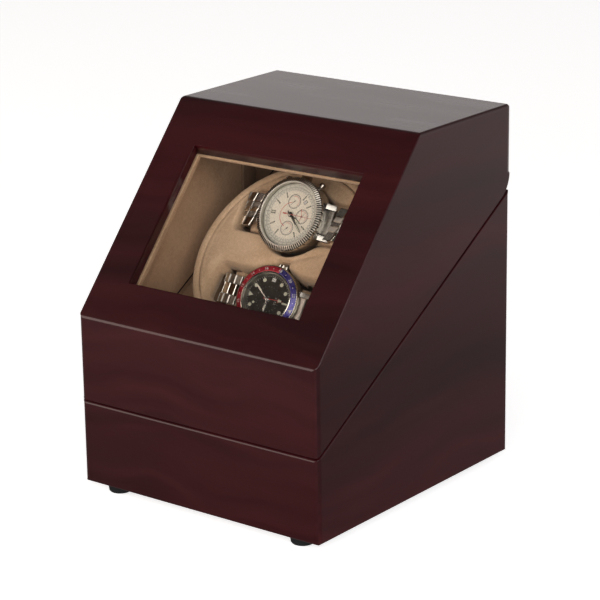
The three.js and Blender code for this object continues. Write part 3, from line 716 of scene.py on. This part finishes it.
def rocker():
    """Hollowed towards its middle, with a line and a ring printed on its two ends."""
    low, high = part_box("power_rocker")
    half_x, back, half_z = (high.x - low.x) / 2 / MM, (high.y - low.y) / MM, (high.z - low.z) / 2 / MM
    hollow, edge, steps = 1.8, 0.5, 12
    sections = []
    for i in range(steps + 1):
        z = half_z * (2 * i / steps - 1)
        reach = min(back - hollow * (1 - (abs(z) / half_z) ** 1.6), back - 0.05)
        outline = [(half_x, 0.0), (half_x, reach - edge), (half_x - edge, reach)]
        sections.append([(-x, y, z) for x, y in outline] + [(x, y, z) for x, y in outline[::-1]])
    shape = Form().add(loft(sections), "plastic")
    line = moved(0, back - 0.75, 4.6) @ spin(-102, "X")
    circle = moved(0, back - 0.75, -4.6) @ spin(-78, "X")
    shape.add(brick((-0.25, -1.3, -0.1), (0.25, 1.3, 0.25), 0.05), "ink_white", line)
    shape.add(ring([(1.0, -0.1), (1.4, -0.1), (1.4, 0.25), (1.0, 0.25)], 32), "ink_white", circle)
    centre = moved((low.x + high.x) / 2, low.y, (low.z + high.z) / 2)
    shape.make("power_rocker", "made", centre)


def knob():
    """A shaft, a cap with a gripping edge, and a printed pointer."""
    low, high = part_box("program_knob")
    axis = joint_place("program_knob_turn")
    depth = (high.y - low.y) / MM
    place = moved(axis.x, low.y, axis.z) @ spin(-90, "X")
    cap = depth - 7.2
    profile = [
        (0, 0), (2.6, 0), (3, 0.4), (3, cap), (8.0, cap), (8.4, cap + 0.5), (8.3, depth - 2.2),
        (7.5, depth - 1.0), (6.8, depth - 0.6), (0, depth - 0.6),
    ]

    def grip(index, step):
        return -0.32 * every_other_pair(step) if index in (5, 6) else 0

    shape = Form().add(lathe(profile, 112, grip), "plastic")
    shape.add(brick((-0.5, -8.2, depth - 0.9), (0.5, -2.2, depth - 0.05), 0.12), "ink_white")
    shape.make("program_knob", "made", place)


rocker()
knob()

# ---- turntable
FACE_RADIUS = 57.1
# Each crease: its two ends, its depth and its width.
CREASES = [((5, -1.6), (26, 7), 0.9, 1.5), ((18.5, -9.6), (28.5, -14.8), 0.8, 1.3)]
# Each pocket: its slot's q range, its round's q and radius, how far it reaches for the crown,
# how deep the cloth is drawn down at its edge, and over what distance.
POCKETS = [
    {"low": 12.6, "high": 40.2, "q": 24.6, "radius": 22.8, "crown": 30.0, "drop": 0.8, "reach": 5.5},
    {"low": -38.5, "high": -9.5, "q": -26.6, "radius": 21.4, "crown": -1.4, "drop": 2.2, "reach": 7.5},
]
POCKET_HALF = 45.0


def box_distance(p, q, low, high, corner):
    cx, cy = (low[0] + high[0]) / 2, (low[1] + high[1]) / 2
    dx = abs(p - cx) - (high[0] - low[0]) / 2 + corner
    dy = abs(q - cy) - (high[1] - low[1]) / 2 + corner
    return math.hypot(max(dx, 0), max(dy, 0)) + min(max(dx, dy), 0) - corner


def soft_least(a, b, blend):
    share = max(0.0, min(1.0, 0.5 + 0.5 * (b - a) / blend))
    return b + (a - b) * share - blend * share * (1 - share)


def pocket_distance(pocket, p, q):
    slot = box_distance(p, q, (-POCKET_HALF, pocket["low"]), (POCKET_HALF, pocket["high"]), 5.0)
    slot = max(slot, math.hypot(p, q) - 55.2)
    case = math.hypot(p, q - pocket["q"]) - pocket["radius"]
    crown = box_distance(p, q, (-3.0, pocket["q"]), (5.6, pocket["crown"]), 1.5)
    return soft_least(soft_least(slot, case, 5.0), crown, 1.6)


def ease(value):
    value = max(0.0, min(1.0, value))
    return value * value * (3 - 2 * value)


def face_height(p, q):
    """The suede's height over the turntable at (p, q), in millimetres."""
    height = -0.15
    for pocket in POCKETS:
        away = pocket_distance(pocket, p, q)
        height -= pocket["drop"] * (1 - ease((away + 1.5) / pocket["reach"])) ** 1.4
        height -= 1.05 * max(0.0, 1.5 - away) ** 2.3
    edge = FACE_RADIUS - math.hypot(p, q)
    height -= 0.45 * max(0.0, 1 - edge / 1.3) ** 2
    height -= 0.32 * math.exp(-(((edge - 3.2) / 0.45) ** 2))
    for (ax, ay), (bx, by), depth, width in CREASES:
        along = Vector((bx - ax, by - ay))
        share = (Vector((p - ax, q - ay)).dot(along)) / along.length_squared
        nearest = Vector((ax, ay)) + along * max(0.0, min(1.0, share))
        off = math.hypot(p - nearest.x, q - nearest.y)
        fade = ease(min(share, 1 - share) * 4 + 0.5)
        height -= depth * fade * math.exp(-((off / width) ** 2))
        height += 0.35 * depth * fade * math.exp(-(((off - 2.4 * width) / (1.4 * width)) ** 2))
    sway = noise.noise(Vector((p * 0.045, q * 0.045, 3.1)))
    return max(height + 0.28 * sway, -17.0)


def turntable_face():
    cell = 0.8
    count = int(FACE_RADIUS / cell) + 1
    index, verts, faces = {}, [], []
    for i in range(-count, count + 1):
        for j in range(-count, count + 1):
            p, q = i * cell, j * cell
            radius = math.hypot(p, q)
            if radius > FACE_RADIUS + cell * 0.75:
                continue
            if radius > FACE_RADIUS - cell * 0.25:
                p, q = p * FACE_RADIUS / radius, q * FACE_RADIUS / radius
            if min(pocket_distance(pocket, p, q) for pocket in POCKETS) < -1.7:
                continue
            index[i, j] = len(verts)
            verts.append((p, q, face_height(p, q)))
    for (i, j) in index:
        corners = [(i, j), (i + 1, j), (i + 1, j + 1), (i, j + 1)]
        here = [index[c] for c in corners if c in index]
        if len(here) >= 3:
            faces.append(here)
    face = Form().add((verts, faces), "suede_pad").make("turntable_face", "suede", TABLE, 80)
    back = face.modifiers.new("cloth", "SOLIDIFY")
    back.thickness, back.offset = 0.9 * MM, -1.0


def turntable_rim():
    profile = [
        (61.2, -4.0), (61.9, -2.6), (62.0, -1.5), (61.75, -0.6), (61.1, -0.12), (60.2, 0.0), (59.2, -0.02),
        (58.4, -0.2), (57.85, -0.6), (57.5, -1.3), (57.42, -2.4), (57.5, -4.0),
    ]

    def ripple(index, step):
        inner = 0 < index < len(profile) - 1
        return min(0.0, 0.1 * noise.noise(Vector((step * 0.12, index * 0.3, 0)))) if inner else 0.0

    rim = Form().add(ring(profile, 240, ripple), "suede_pad").make("turntable_rim", "suede", TABLE, 80)


turntable_face()
turntable_rim()
refine("turntable_drum", "suede", 0.8, 3)


# ---- watch straps on cushions
class Oval:
    """A bracelet's loop in the watch's x-z plane, walked by distance from the lug at +x, downwards."""

    POWER = 6.0

    def __init__(self, half_length, half_height, centre, reach):
        self.a, self.b, self.c = half_length, half_height, centre
        steps, squash = 1600, 2 / self.POWER
        points = []
        for step in range(steps + 1):
            angle = math.pi / 2 - TAU * step / steps
            x, z = math.cos(angle), math.sin(angle)
            x, z = math.copysign(abs(x) ** squash, x), math.copysign(abs(z) ** squash, z)
            points.append(Vector((self.a * x, self.c + self.b * z)))
        start = next(i for i, p in enumerate(points) if p.x >= reach)
        self.points = points[start : steps + 1 - start]
        self.lengths = [0.0]
        for one, two in zip(self.points, self.points[1:]):
            self.lengths.append(self.lengths[-1] + (two - one).length)

    def at(self, distance):
        """Frame at a distance: x along the loop, y across, z outwards."""
        index = next((i for i, s in enumerate(self.lengths) if s >= distance), len(self.points) - 1)
        index = max(2, min(index, len(self.points) - 3))
        here = self.points[index]
        along = (self.points[index + 2] - self.points[index - 2]).normalized()
        x, y = Vector((along.x, 0, along.y)), Vector((0, 1, 0))
        return basis(Vector((here.x, 0, here.y)), x, y, x.cross(y))

    def inside(self, x, z, margin):
        """(x, z) pulled in to lie margin within the loop."""
        a, b = self.a - margin, self.b - margin
        value = abs(x / a) ** self.POWER + abs((z - self.c) / b) ** self.POWER
        if value <= 1:
            return x, z
        share = value ** (-1 / self.POWER)
        return x * share, self.c + (z - self.c) * share


LOOPS = {"chrono": Oval(40.5, 17.4, -22.2, 27.4), "gmt": Oval(41.4, 15.2, -19.6, 25.4)}
LINK_GAP = 0.14


def cushion(watch, matrix, half_width, band, reach, top):
    """A foam pad in suede: flat under the strap's band, swelling beside it, and no higher than
    top within reach of the watch's case."""
    node = "cushion_" + watch
    pad = new_object(node + "_pad", mesh_of(joined_copy(node), node + "_pad"))
    remesh = pad.modifiers.new("remesh", "REMESH")
    remesh.mode, remesh.voxel_size = "VOXEL", 3.2 * MM
    settle(pad)
    rest = [v.co.copy() for v in pad.data.vertices]
    cloth = pad.modifiers.new("cloth", "CLOTH")
    cloth.settings.use_pressure = True
    cloth.settings.uniform_pressure_force = 4.0
    cloth.settings.effector_weights.gravity = 0.0
    cloth.settings.quality = 5
    for step in range(1, 21):
        bpy.context.scene.frame_set(step)
    settle(pad)
    bpy.context.scene.frame_set(1)
    inverse, cap = matrix.inverted(), 1.6 * MM
    loop = LOOPS[watch]
    for vertex, start in zip(pad.data.vertices, rest):
        move = vertex.co - start
        spot = start + (move if move.length < cap else move.normalized() * cap)
        local = inverse @ spot / MM
        beside = ease((abs(local.y) - band - 0.2) / 1.3)
        swell = 1 + 0.075 * beside
        x, z = local.x * swell, loop.c + (local.z - loop.c) * swell
        x, z = loop.inside(x, z, 2.1 - 3.0 * beside)
        roof = top + (loop.c + loop.b - top) * ease((abs(x) - reach) / 5)
        y = math.copysign(min(abs(local.y), half_width), local.y)
        vertex.co = matrix @ (Vector((x, y, min(z, roof))) * MM)
    relax = pad.modifiers.new("smooth", "SMOOTH")
    relax.factor, relax.iterations = 0.5, 3
    fine = pad.modifiers.new("fine", "SUBSURF")
    fine.levels = fine.render_levels = 1
    settle(pad)
    pad.data.materials.clear()
    pad.data.materials.append(LOOKS["suede_pad"])
    pad.data.shade_smooth()
    declare(pad, node)


def settle(made):
    """Leaves an object with what its modifiers make of it, and with no modifiers."""
    view = bpy.context.evaluated_depsgraph_get()
    mesh = bpy.data.meshes.new_from_object(made.evaluated_get(view))
    made.modifiers.clear()
    made.data = mesh


def bracelet(watch, matrix, rows, pitch, thickness, slant, end_link):
    """rows: each link's width, its start along the row in pitches, its shear, lift and look.
    end_link: where it starts and ends, its half width, top and bottom."""
    loop = LOOPS[watch]
    total = loop.lengths[-1]
    count = round(total / pitch)
    step = total / count
    reach = step / 2 - LINK_GAP
    width = sum(row[0] for row in rows) + LINK_GAP * (len(rows) - 1)
    shape = Form()
    for number in range(count):
        y = -width / 2
        for across, start, shear, lift, look in rows:
            place = loop.at((number + start + 0.5) * step + slant * (y + across / 2))
            low, high = (-reach, y, -thickness / 2), (reach, y + across, thickness / 2 + lift)
            if number < count - 1 or not start:
                shape.add(brick(low, high, 0.32, shear), look, place)
            y += across + LINK_GAP
        if number:
            hinge = loop.at(number * step) @ spin(90, "X")
            shape.add(slab(disc(thickness * 0.36, 10), -width / 2 + 0.6, width / 2 - 0.6), "brushed", hinge)
    inner, outer, half, high, low = end_link
    for x0, x1 in ((-outer, -inner), (inner, outer)):
        shape.add(brick((x0, -half, low), (x1, half, high), 0.5), "brushed")
    shape.make(watch + "_bracelet", "links", matrix, 32)


cushion("chrono", CHRONO, half_width=13.3, band=10.6, reach=27, top=-9.9)
cushion("gmt", GMT_STRAP, half_width=12.8, band=9.2, reach=25, top=-11.6)
OUTER, MIDDLE = (5.5, 0, 0.45, 0.25, "polished"), (3.05, 0, 0.45, 0.12, "polished")
PLAIN = (3.05, 0, 0.45, 0, "brushed")
bracelet(
    "chrono", CHRONO, [OUTER, PLAIN, MIDDLE, PLAIN, OUTER],
    pitch=5.9, thickness=2.9, slant=0.26, end_link=(20.6, 27.2, 7.6, -3.6, -8.6),
)
SIDE, CENTRE = (5.5, 0, 0, 0, "brushed"), (6.9, 0.5, 0, 0.12, "polished")
bracelet(
    "gmt", GMT_STRAP, [SIDE, CENTRE, SIDE],
    pitch=4.9, thickness=2.8, slant=0.0, end_link=(18.4, 24.3, 6.8, -3.2, -7.8),
)


# ---- watch heads
# How high the crowns sit over the dials, and the angles of the lower watch's 24-hour marker and
# of its still seconds hand, from 6 o'clock towards 3 o'clock.
CROWN_HEIGHT, GMT_MARKER, GMT_SECONDS = -5, -10, -151


def hand(watch, kind, outline, low, high, hub, degrees, look, lume=None, ridge=0.12):
    """outline: half widths by distance along the hand, which points along +y before it is turned."""
    sections = []
    for distance, half in outline:
        upper = [(half, distance, high - ridge), (0, distance, high), (-half, distance, high - ridge)]
        sections.append([(-half, distance, low), (0, distance, low), (half, distance, low)] + upper)
    shape = Form().add(loft(sections), look, turned(-degrees))
    collar = [(0.62, low), (hub, low), (hub, high), (hub - 0.25, high + 0.08), (0.62, high + 0.08)]
    shape.add(ring(collar, 28), "hand_steel" if look == "hand_red" else look)
    if lume:
        start, stop, half = lume
        filling = [(-half, start), (half, start), (half * 0.7, stop), (-half * 0.7, stop)]
        shape.add(slab(filling, high - 0.1, high + 0.06), "lume", turned(-degrees))
    shape.make(f"{watch}_{kind}_hand", "made", WATCHES[watch])


def crown(node, degrees, cap, start, end, flutes=0):
    """A crown or pusher, clockwise by degrees from 3 o'clock; start and end count from the axis."""
    profile = [
        (0, start - 2.9), (0.9, start - 2.9), (0.9, start + 0.1), (cap - 0.7, start + 0.1),
        (cap - 0.1, start + 0.5), (cap - 0.1, end - 0.6), (cap - 0.5, end - 0.15), (cap - 1.0, end),
        (0, end),
    ]

    def cut(index, step):
        return -0.28 * every_other_pair(step) if flutes and index in (4, 5) else 0

    shape = Form().add(lathe(profile, flutes * 4 or 40, cut), "polished")
    outwards = moved(0, 0, CROWN_HEIGHT * MM) @ spin(-degrees, "Z") @ spin(-90, "X")
    shape.make(node, "made", WATCHES[node.split("_")[0]] @ outwards)


def chrono_bezel():
    """A coin edge on the slope, and shallow scallops around the side."""
    profile = [
        (19.62, -0.78), (22.3, -0.78), (22.9, -0.45), (23.08, 0.1), (23.08, 1.2), (22.95, 1.7), (22.75, 1.9),
        (22.6, 2.2), (20.9, 3.0), (20.4, 3.1), (20.2, 3.12), (20.1, 3.02), (19.62, 2.8),
    ]

    def wave(index, step):
        if index in (7, 8):
            return -0.6 * every_other_pair(step)
        if index in (2, 3, 4, 5):
            return -0.55 * max(0.0, math.cos(TAU * step / 12) - 0.3)
        return 0.0

    made = Form().add(ring(profile, 4 * FLUTES, wave), "fluted")
    made.add(ring([(19.6, 2.75), (20.1, 3.0), (20.1, 3.12), (19.6, 2.9)], 160), "cream")
    made.make("chrono_bezel", "fluted", CHRONO, 24)


def dial_plate(radius, segments, look, post):
    """A dial with a broken edge, and the post that its hands turn on."""
    edge = [(radius - 0.15, -0.88), (radius, -0.7), (radius, -0.05), (radius - 0.05, 0.0)]
    dial = Form().add(lathe([(0, -0.88), *edge, (0, 0.0)], segments), look)
    return dial.add(lathe([(0.45, -0.05), (0.45, 1.9), (0.3, 1.98), (0, 1.98)], 16), post)


def chrono_dial():
    dial = dial_plate(19.35, 128, "cream", "polished")
    for hour in (0, 1, 2, 4, 5, 7, 8, 10, 11):
        place = turned(180 - 30 * hour)
        for shift in ((-0.6, 0.6) if hour == 0 else (0.0,)):
            dial.add(brick((11.4, shift - 0.36, -0.02), (14.7, shift + 0.36, 0.28), 0.1), "ink_black", place)
            dial.add(brick((12.0, shift - 0.12, 0.2), (14.2, shift + 0.12, 0.31), 0.03), "lume", place)
    for x, y in SUB_DIALS:
        around = moved(x, y, 0)
        dial.add(ring([(4.3, -0.02), (4.5, -0.02), (4.46, 0.08), (4.34, 0.08)], 64), "hand_steel", around)
        needle = [(-0.16, -1.0), (0.16, -1.0), (0.05, 3.1), (-0.05, 3.1)]
        dial.add(slab(needle, 0.1, 0.2), "hand_dark", around @ turned(-35 if x else 140))
        dial.add(lathe([(0.42, 0.22), (0.42, 0.0), (0, 0.0)], 16), "hand_dark", around)
    window = turned(48, 12.0)
    dial.add(brick((-1.25, -1.0, -0.02), (1.25, 1.0, 0.1), 0.05), "hand_steel", window)
    dial.add(brick((-0.95, -0.72, 0.0), (0.95, 0.72, 0.14), 0.03), "ink_white", window)
    for line in (-0.3, 0.25):
        dial.add(brick((-0.5, line, 0.1), (0.5, line + 0.16, 0.16), 0.02), "ink_black", window)
    dial.make("chrono_dial", "printed", CHRONO)


def chrono_head():
    refine("chrono_case", "brushed", 0.45, 3, "steel")
    chrono_bezel()
    chrono_dial()
    hour = [(-2.4, 0.35), (0, 0.4), (5.5, 0.75), (7.6, 0.62), (9.7, 0.05)]
    minute = [(-2.9, 0.3), (0, 0.35), (9.5, 0.55), (13.0, 0.46), (15.1, 0.04)]
    seconds = [(-5.0, 0.34), (-2.6, 0.36), (-2.2, 0.13), (0, 0.16), (16.2, 0.06)]
    hand("chrono", "hour", hour, 0.3, 0.62, 1.6, 118, "hand_dark", (5.0, 8.4, 0.34))
    hand("chrono", "minute", minute, 0.9, 1.2, 1.4, 132, "hand_dark", (8.5, 13.4, 0.26))
    hand("chrono", "seconds", seconds, 1.4, 1.58, 0.9, 92, "hand_red", ridge=0.03)
    crown("chrono_crown", 0, 3.3, 22.4, 26.0, 26)
    crown("chrono_start_pusher", -29, 2.1, 23.8, 26.6)
    crown("chrono_reset_pusher", 31, 2.1, 23.8, 26.6)


def numeral(text, size, look, matrix, shape):
    """A plain figure from the built-in font, as part of a form, in millimetres."""
    curve = bpy.data.curves.new("numeral", "FONT")
    curve.body, curve.size, curve.extrude = text, size, 0.05
    curve.align_x = curve.align_y = "CENTER"
    curve.resolution_u = 3
    made = new_object("numeral", curve)
    bpy.context.view_layer.update()
    mesh = made.to_mesh()
    outline = [tuple(v.co) for v in mesh.vertices], [list(f.vertices) for f in mesh.polygons]
    shape.add(outline, look, matrix)
    made.to_mesh_clear()
    bpy.data.objects.remove(made)
    bpy.data.curves.remove(curve)


def gmt_bezel():
    """A coin edge, and a two-colour ring with 24 hours, numbered in twos from its marker."""
    profile = [
        (15.72, -0.78), (19.6, -0.78), (20.3, -0.4), (20.46, 0.2), (20.46, 1.25), (20.1, 1.75),
        (19.75, 1.82), (19.6, 1.55), (16.55, 2.75), (16.45, 3.05), (15.95, 3.18), (15.72, 2.9),
    ]

    def wave(index, step):
        return -0.24 * every_other_pair(step) if index in (3, 4, 5) else 0.0

    made = Form().add(ring(profile, 480, wave), "polished")
    insert = [(16.6, 2.45), (19.55, 1.35), (19.6, 1.68), (19.45, 1.86), (16.8, 2.93), (16.6, 2.9)]
    made.add(ring(insert, 160), two_colour_insert(math.radians(GMT_MARKER)))
    slope = math.atan2(2.93 - 1.86, 19.45 - 16.8)
    for hour in range(24):
        place = turned(GMT_MARKER - 15 * hour, 18.12, 0, 2.42) @ Matrix.Rotation(slope, 4, "Y")
        if hour == 0:
            made.add(slab([(-1.05, 0), (1.0, -1.25), (1.0, 1.25)], -0.02, 0.1), "ink_white", place)
        elif hour % 2:
            made.add(slab(disc(0.27, 12), -0.02, 0.07), "ink_white", place)
        else:
            numeral(str(hour), 2.5, "ink_white", place @ spin(-90, "Z"), made)
    made.make("gmt_bezel", "fluted", GMT, 24)


def bar(x, y):
    """An oblong of half length x and half width y."""
    return [(-x, -y), (x, -y), (x, y), (-x, y)]


def gmt_dial():
    dial = dial_plate(15.42, 112, "black", "hand_steel")
    dial.add(ring([(14.2, -0.02), (15.45, -0.02), (15.45, 2.2), (15.2, 2.2)], 160), "brushed")
    # Each hour's marker: its steel surround and its luminous filling.
    markers = {hour: (disc(1.4, 28), disc(1.12, 28)) for hour in range(12)}
    markers[0] = [(-2.0, 0), (1.5, -1.85), (1.5, 1.85)], [(-1.5, 0), (1.2, -1.42), (1.2, 1.42)]
    markers[6] = markers[9] = bar(2.1, 0.8), bar(1.8, 0.5)
    del markers[3]
    for hour, (surround, filling) in markers.items():
        place = turned(180 - 30 * hour, 11.9)
        dial.add(slab(surround, -0.02, 0.2, 0.06), "hand_steel", place)
        dial.add(slab(filling, 0.1, 0.28, 0.05), "lume", place)
    date = turned(90, 11.9)
    dial.add(slab(bar(1.3, 1.5), -0.02, 0.14, 0.06), "hand_steel", date)
    dial.add(slab(bar(1.0, 1.2), 0.0, 0.17, 0.03), "ink_white", date)
    numeral("7", 2.0, "ink_black", date @ moved(0, 0, 0.16), dial)
    for line in (4.75, 5.65):
        for start in (-2.1, -0.9, 0.3, 1.5):
            dial.add(brick((line, start, -0.01), (line + 0.2, start + 0.7, 0.03), 0.01), "ink_white")
    sweep = [(-3.4, -0.15), (12.6, -0.07), (12.6, 0.07), (-3.4, 0.15)]
    dial.add(slab(sweep, 1.6, 1.72), "hand_steel", turned(GMT_SECONDS))
    dial.add(slab(disc(0.75, 20), 1.58, 1.78, 0.04), "lume", turned(GMT_SECONDS, 8.8))
    dial.make("gmt_dial", "printed", GMT)


def gmt_head():
    refine("gmt_case", "brushed", 0.45, 3, "steel")
    gmt_bezel()
    gmt_dial()
    hour = [(-1.9, 0.4), (0, 0.5), (4.6, 0.85), (6.6, 0.75), (8.0, 0.06)]
    minute = [(-2.3, 0.35), (0, 0.4), (7.5, 0.62), (10.6, 0.55), (12.4, 0.05)]
    day = [(-2.3, 0.24), (0, 0.24), (7.4, 0.2), (7.5, 1.15), (10.5, 0.04)]
    hand("gmt", "hour", hour, 0.3, 0.62, 1.4, 180, "hand_steel", (3.6, 6.9, 0.42))
    hand("gmt", "minute", minute, 0.8, 1.02, 1.3, -55, "hand_steel", (6.4, 11.2, 0.3))
    hand("gmt", "24h", day, 1.3, 1.48, 1.2, 85, "hand_red", (7.7, 10.0, 0.8), ridge=0.03)
    crown("gmt_crown", 0, 2.9, 19.8, 22.7, 24)


chrono_head()
gmt_head()
for watch in WATCHES:
    crystal = nodes[watch + "_crystal"].data
    crystal.materials[0] = LOOKS["crystal"]
    smooth(crystal)


# ---- studio
def aim_camera():
    azimuth, elevation, roll = 38.02836, 17.0942, -0.86139
    data = bpy.data.cameras.new("camera")
    data.lens, data.sensor_width = 149.75, 36.0
    data.clip_start, data.clip_end = 0.05, 40.0
    camera = new_object("camera", data)
    level = spin(azimuth, "Z") @ spin(90 - elevation, "X")
    camera.matrix_world = moved(0.8845, -1.1275, 0.5516) @ level @ spin(roll, "Z")
    bpy.context.scene.camera = camera


def softbox(name, place, target, width, height, power, color=(1, 1, 1)):
    data = bpy.data.lights.new(name, "AREA")
    data.shape, data.size, data.size_y, data.energy = "RECTANGLE", width, height, power
    data.color = color
    lamp = new_object(name, data)
    lamp.location = place
    lamp.rotation_euler = (Vector(target) - Vector(place)).to_track_quat("-Z", "Y").to_euler()


def studio():
    """A surround that is bright at eye level and dim above, and dimmer in front than behind."""
    world = bpy.data.worlds.new("studio")
    bpy.context.scene.world = world
    sky = Tree(world)
    way = sky.node("ShaderNodeSeparateXYZ", {0: sky.node("ShaderNodeTexCoord").outputs["Generated"]})
    ramp = sky.node("ShaderNodeValToRGB", {0: sky.spread(way.outputs[2], -1.0, 1.0)})
    stops = [
        (0.0, 0.22), (0.22, 0.2), (0.31, 0.09), (0.345, 0.2), (0.385, 0.55), (0.45, 0.7),
        (0.5, 0.72), (0.62, 0.64), (0.70, 0.52), (0.79, 0.10), (1.0, 0.1),
    ]
    points = ramp.color_ramp.elements
    while len(points) < len(stops):
        points.new(0.5)
    for point, (place, level) in zip(points, stops):
        point.position, point.color = place, (level, level * 0.93, level * 0.92, 1)
    inputs = sky.tree.nodes["Background"].inputs
    sky.feed(inputs["Color"], ramp.outputs[0])
    sky.feed(inputs["Strength"], sky.spread(way.outputs[1], -0.75, 0.75, 0.6, 1.0))
    softbox("key", (1.5, -1.7, 0.98), (0, 0, 0.12), 2.8, 1.85, 52)
    softbox("edge", (-1.35, -1.5, 0.55), (0, 0, 0.14), 2.2, 1.1, 19, (1.0, 0.84, 0.75))
    look = Look("floor_paper", (0.86, 0.86, 0.86), 0.9, Specular_IOR_Level=0.1)
    tooth = look.noise(90, 3)
    look.paint(look.tones(tooth, (0.84, 0.84, 0.84), (0.88, 0.88, 0.88), 0.3, 0.7))
    look.set("Emission Color", (1, 1, 1, 1))
    look.set("Emission Strength", 0.72)
    work = bmesh.new()
    bmesh.ops.create_circle(work, cap_ends=True, segments=96, radius=9.0)
    floor = new_object("floor", mesh_of(work, "floor"))
    floor.data.materials.append(look.material)
    floor.visible_glossy = False
    bpy.context.scene.view_settings.view_transform = "Standard"


aim_camera()
studio()
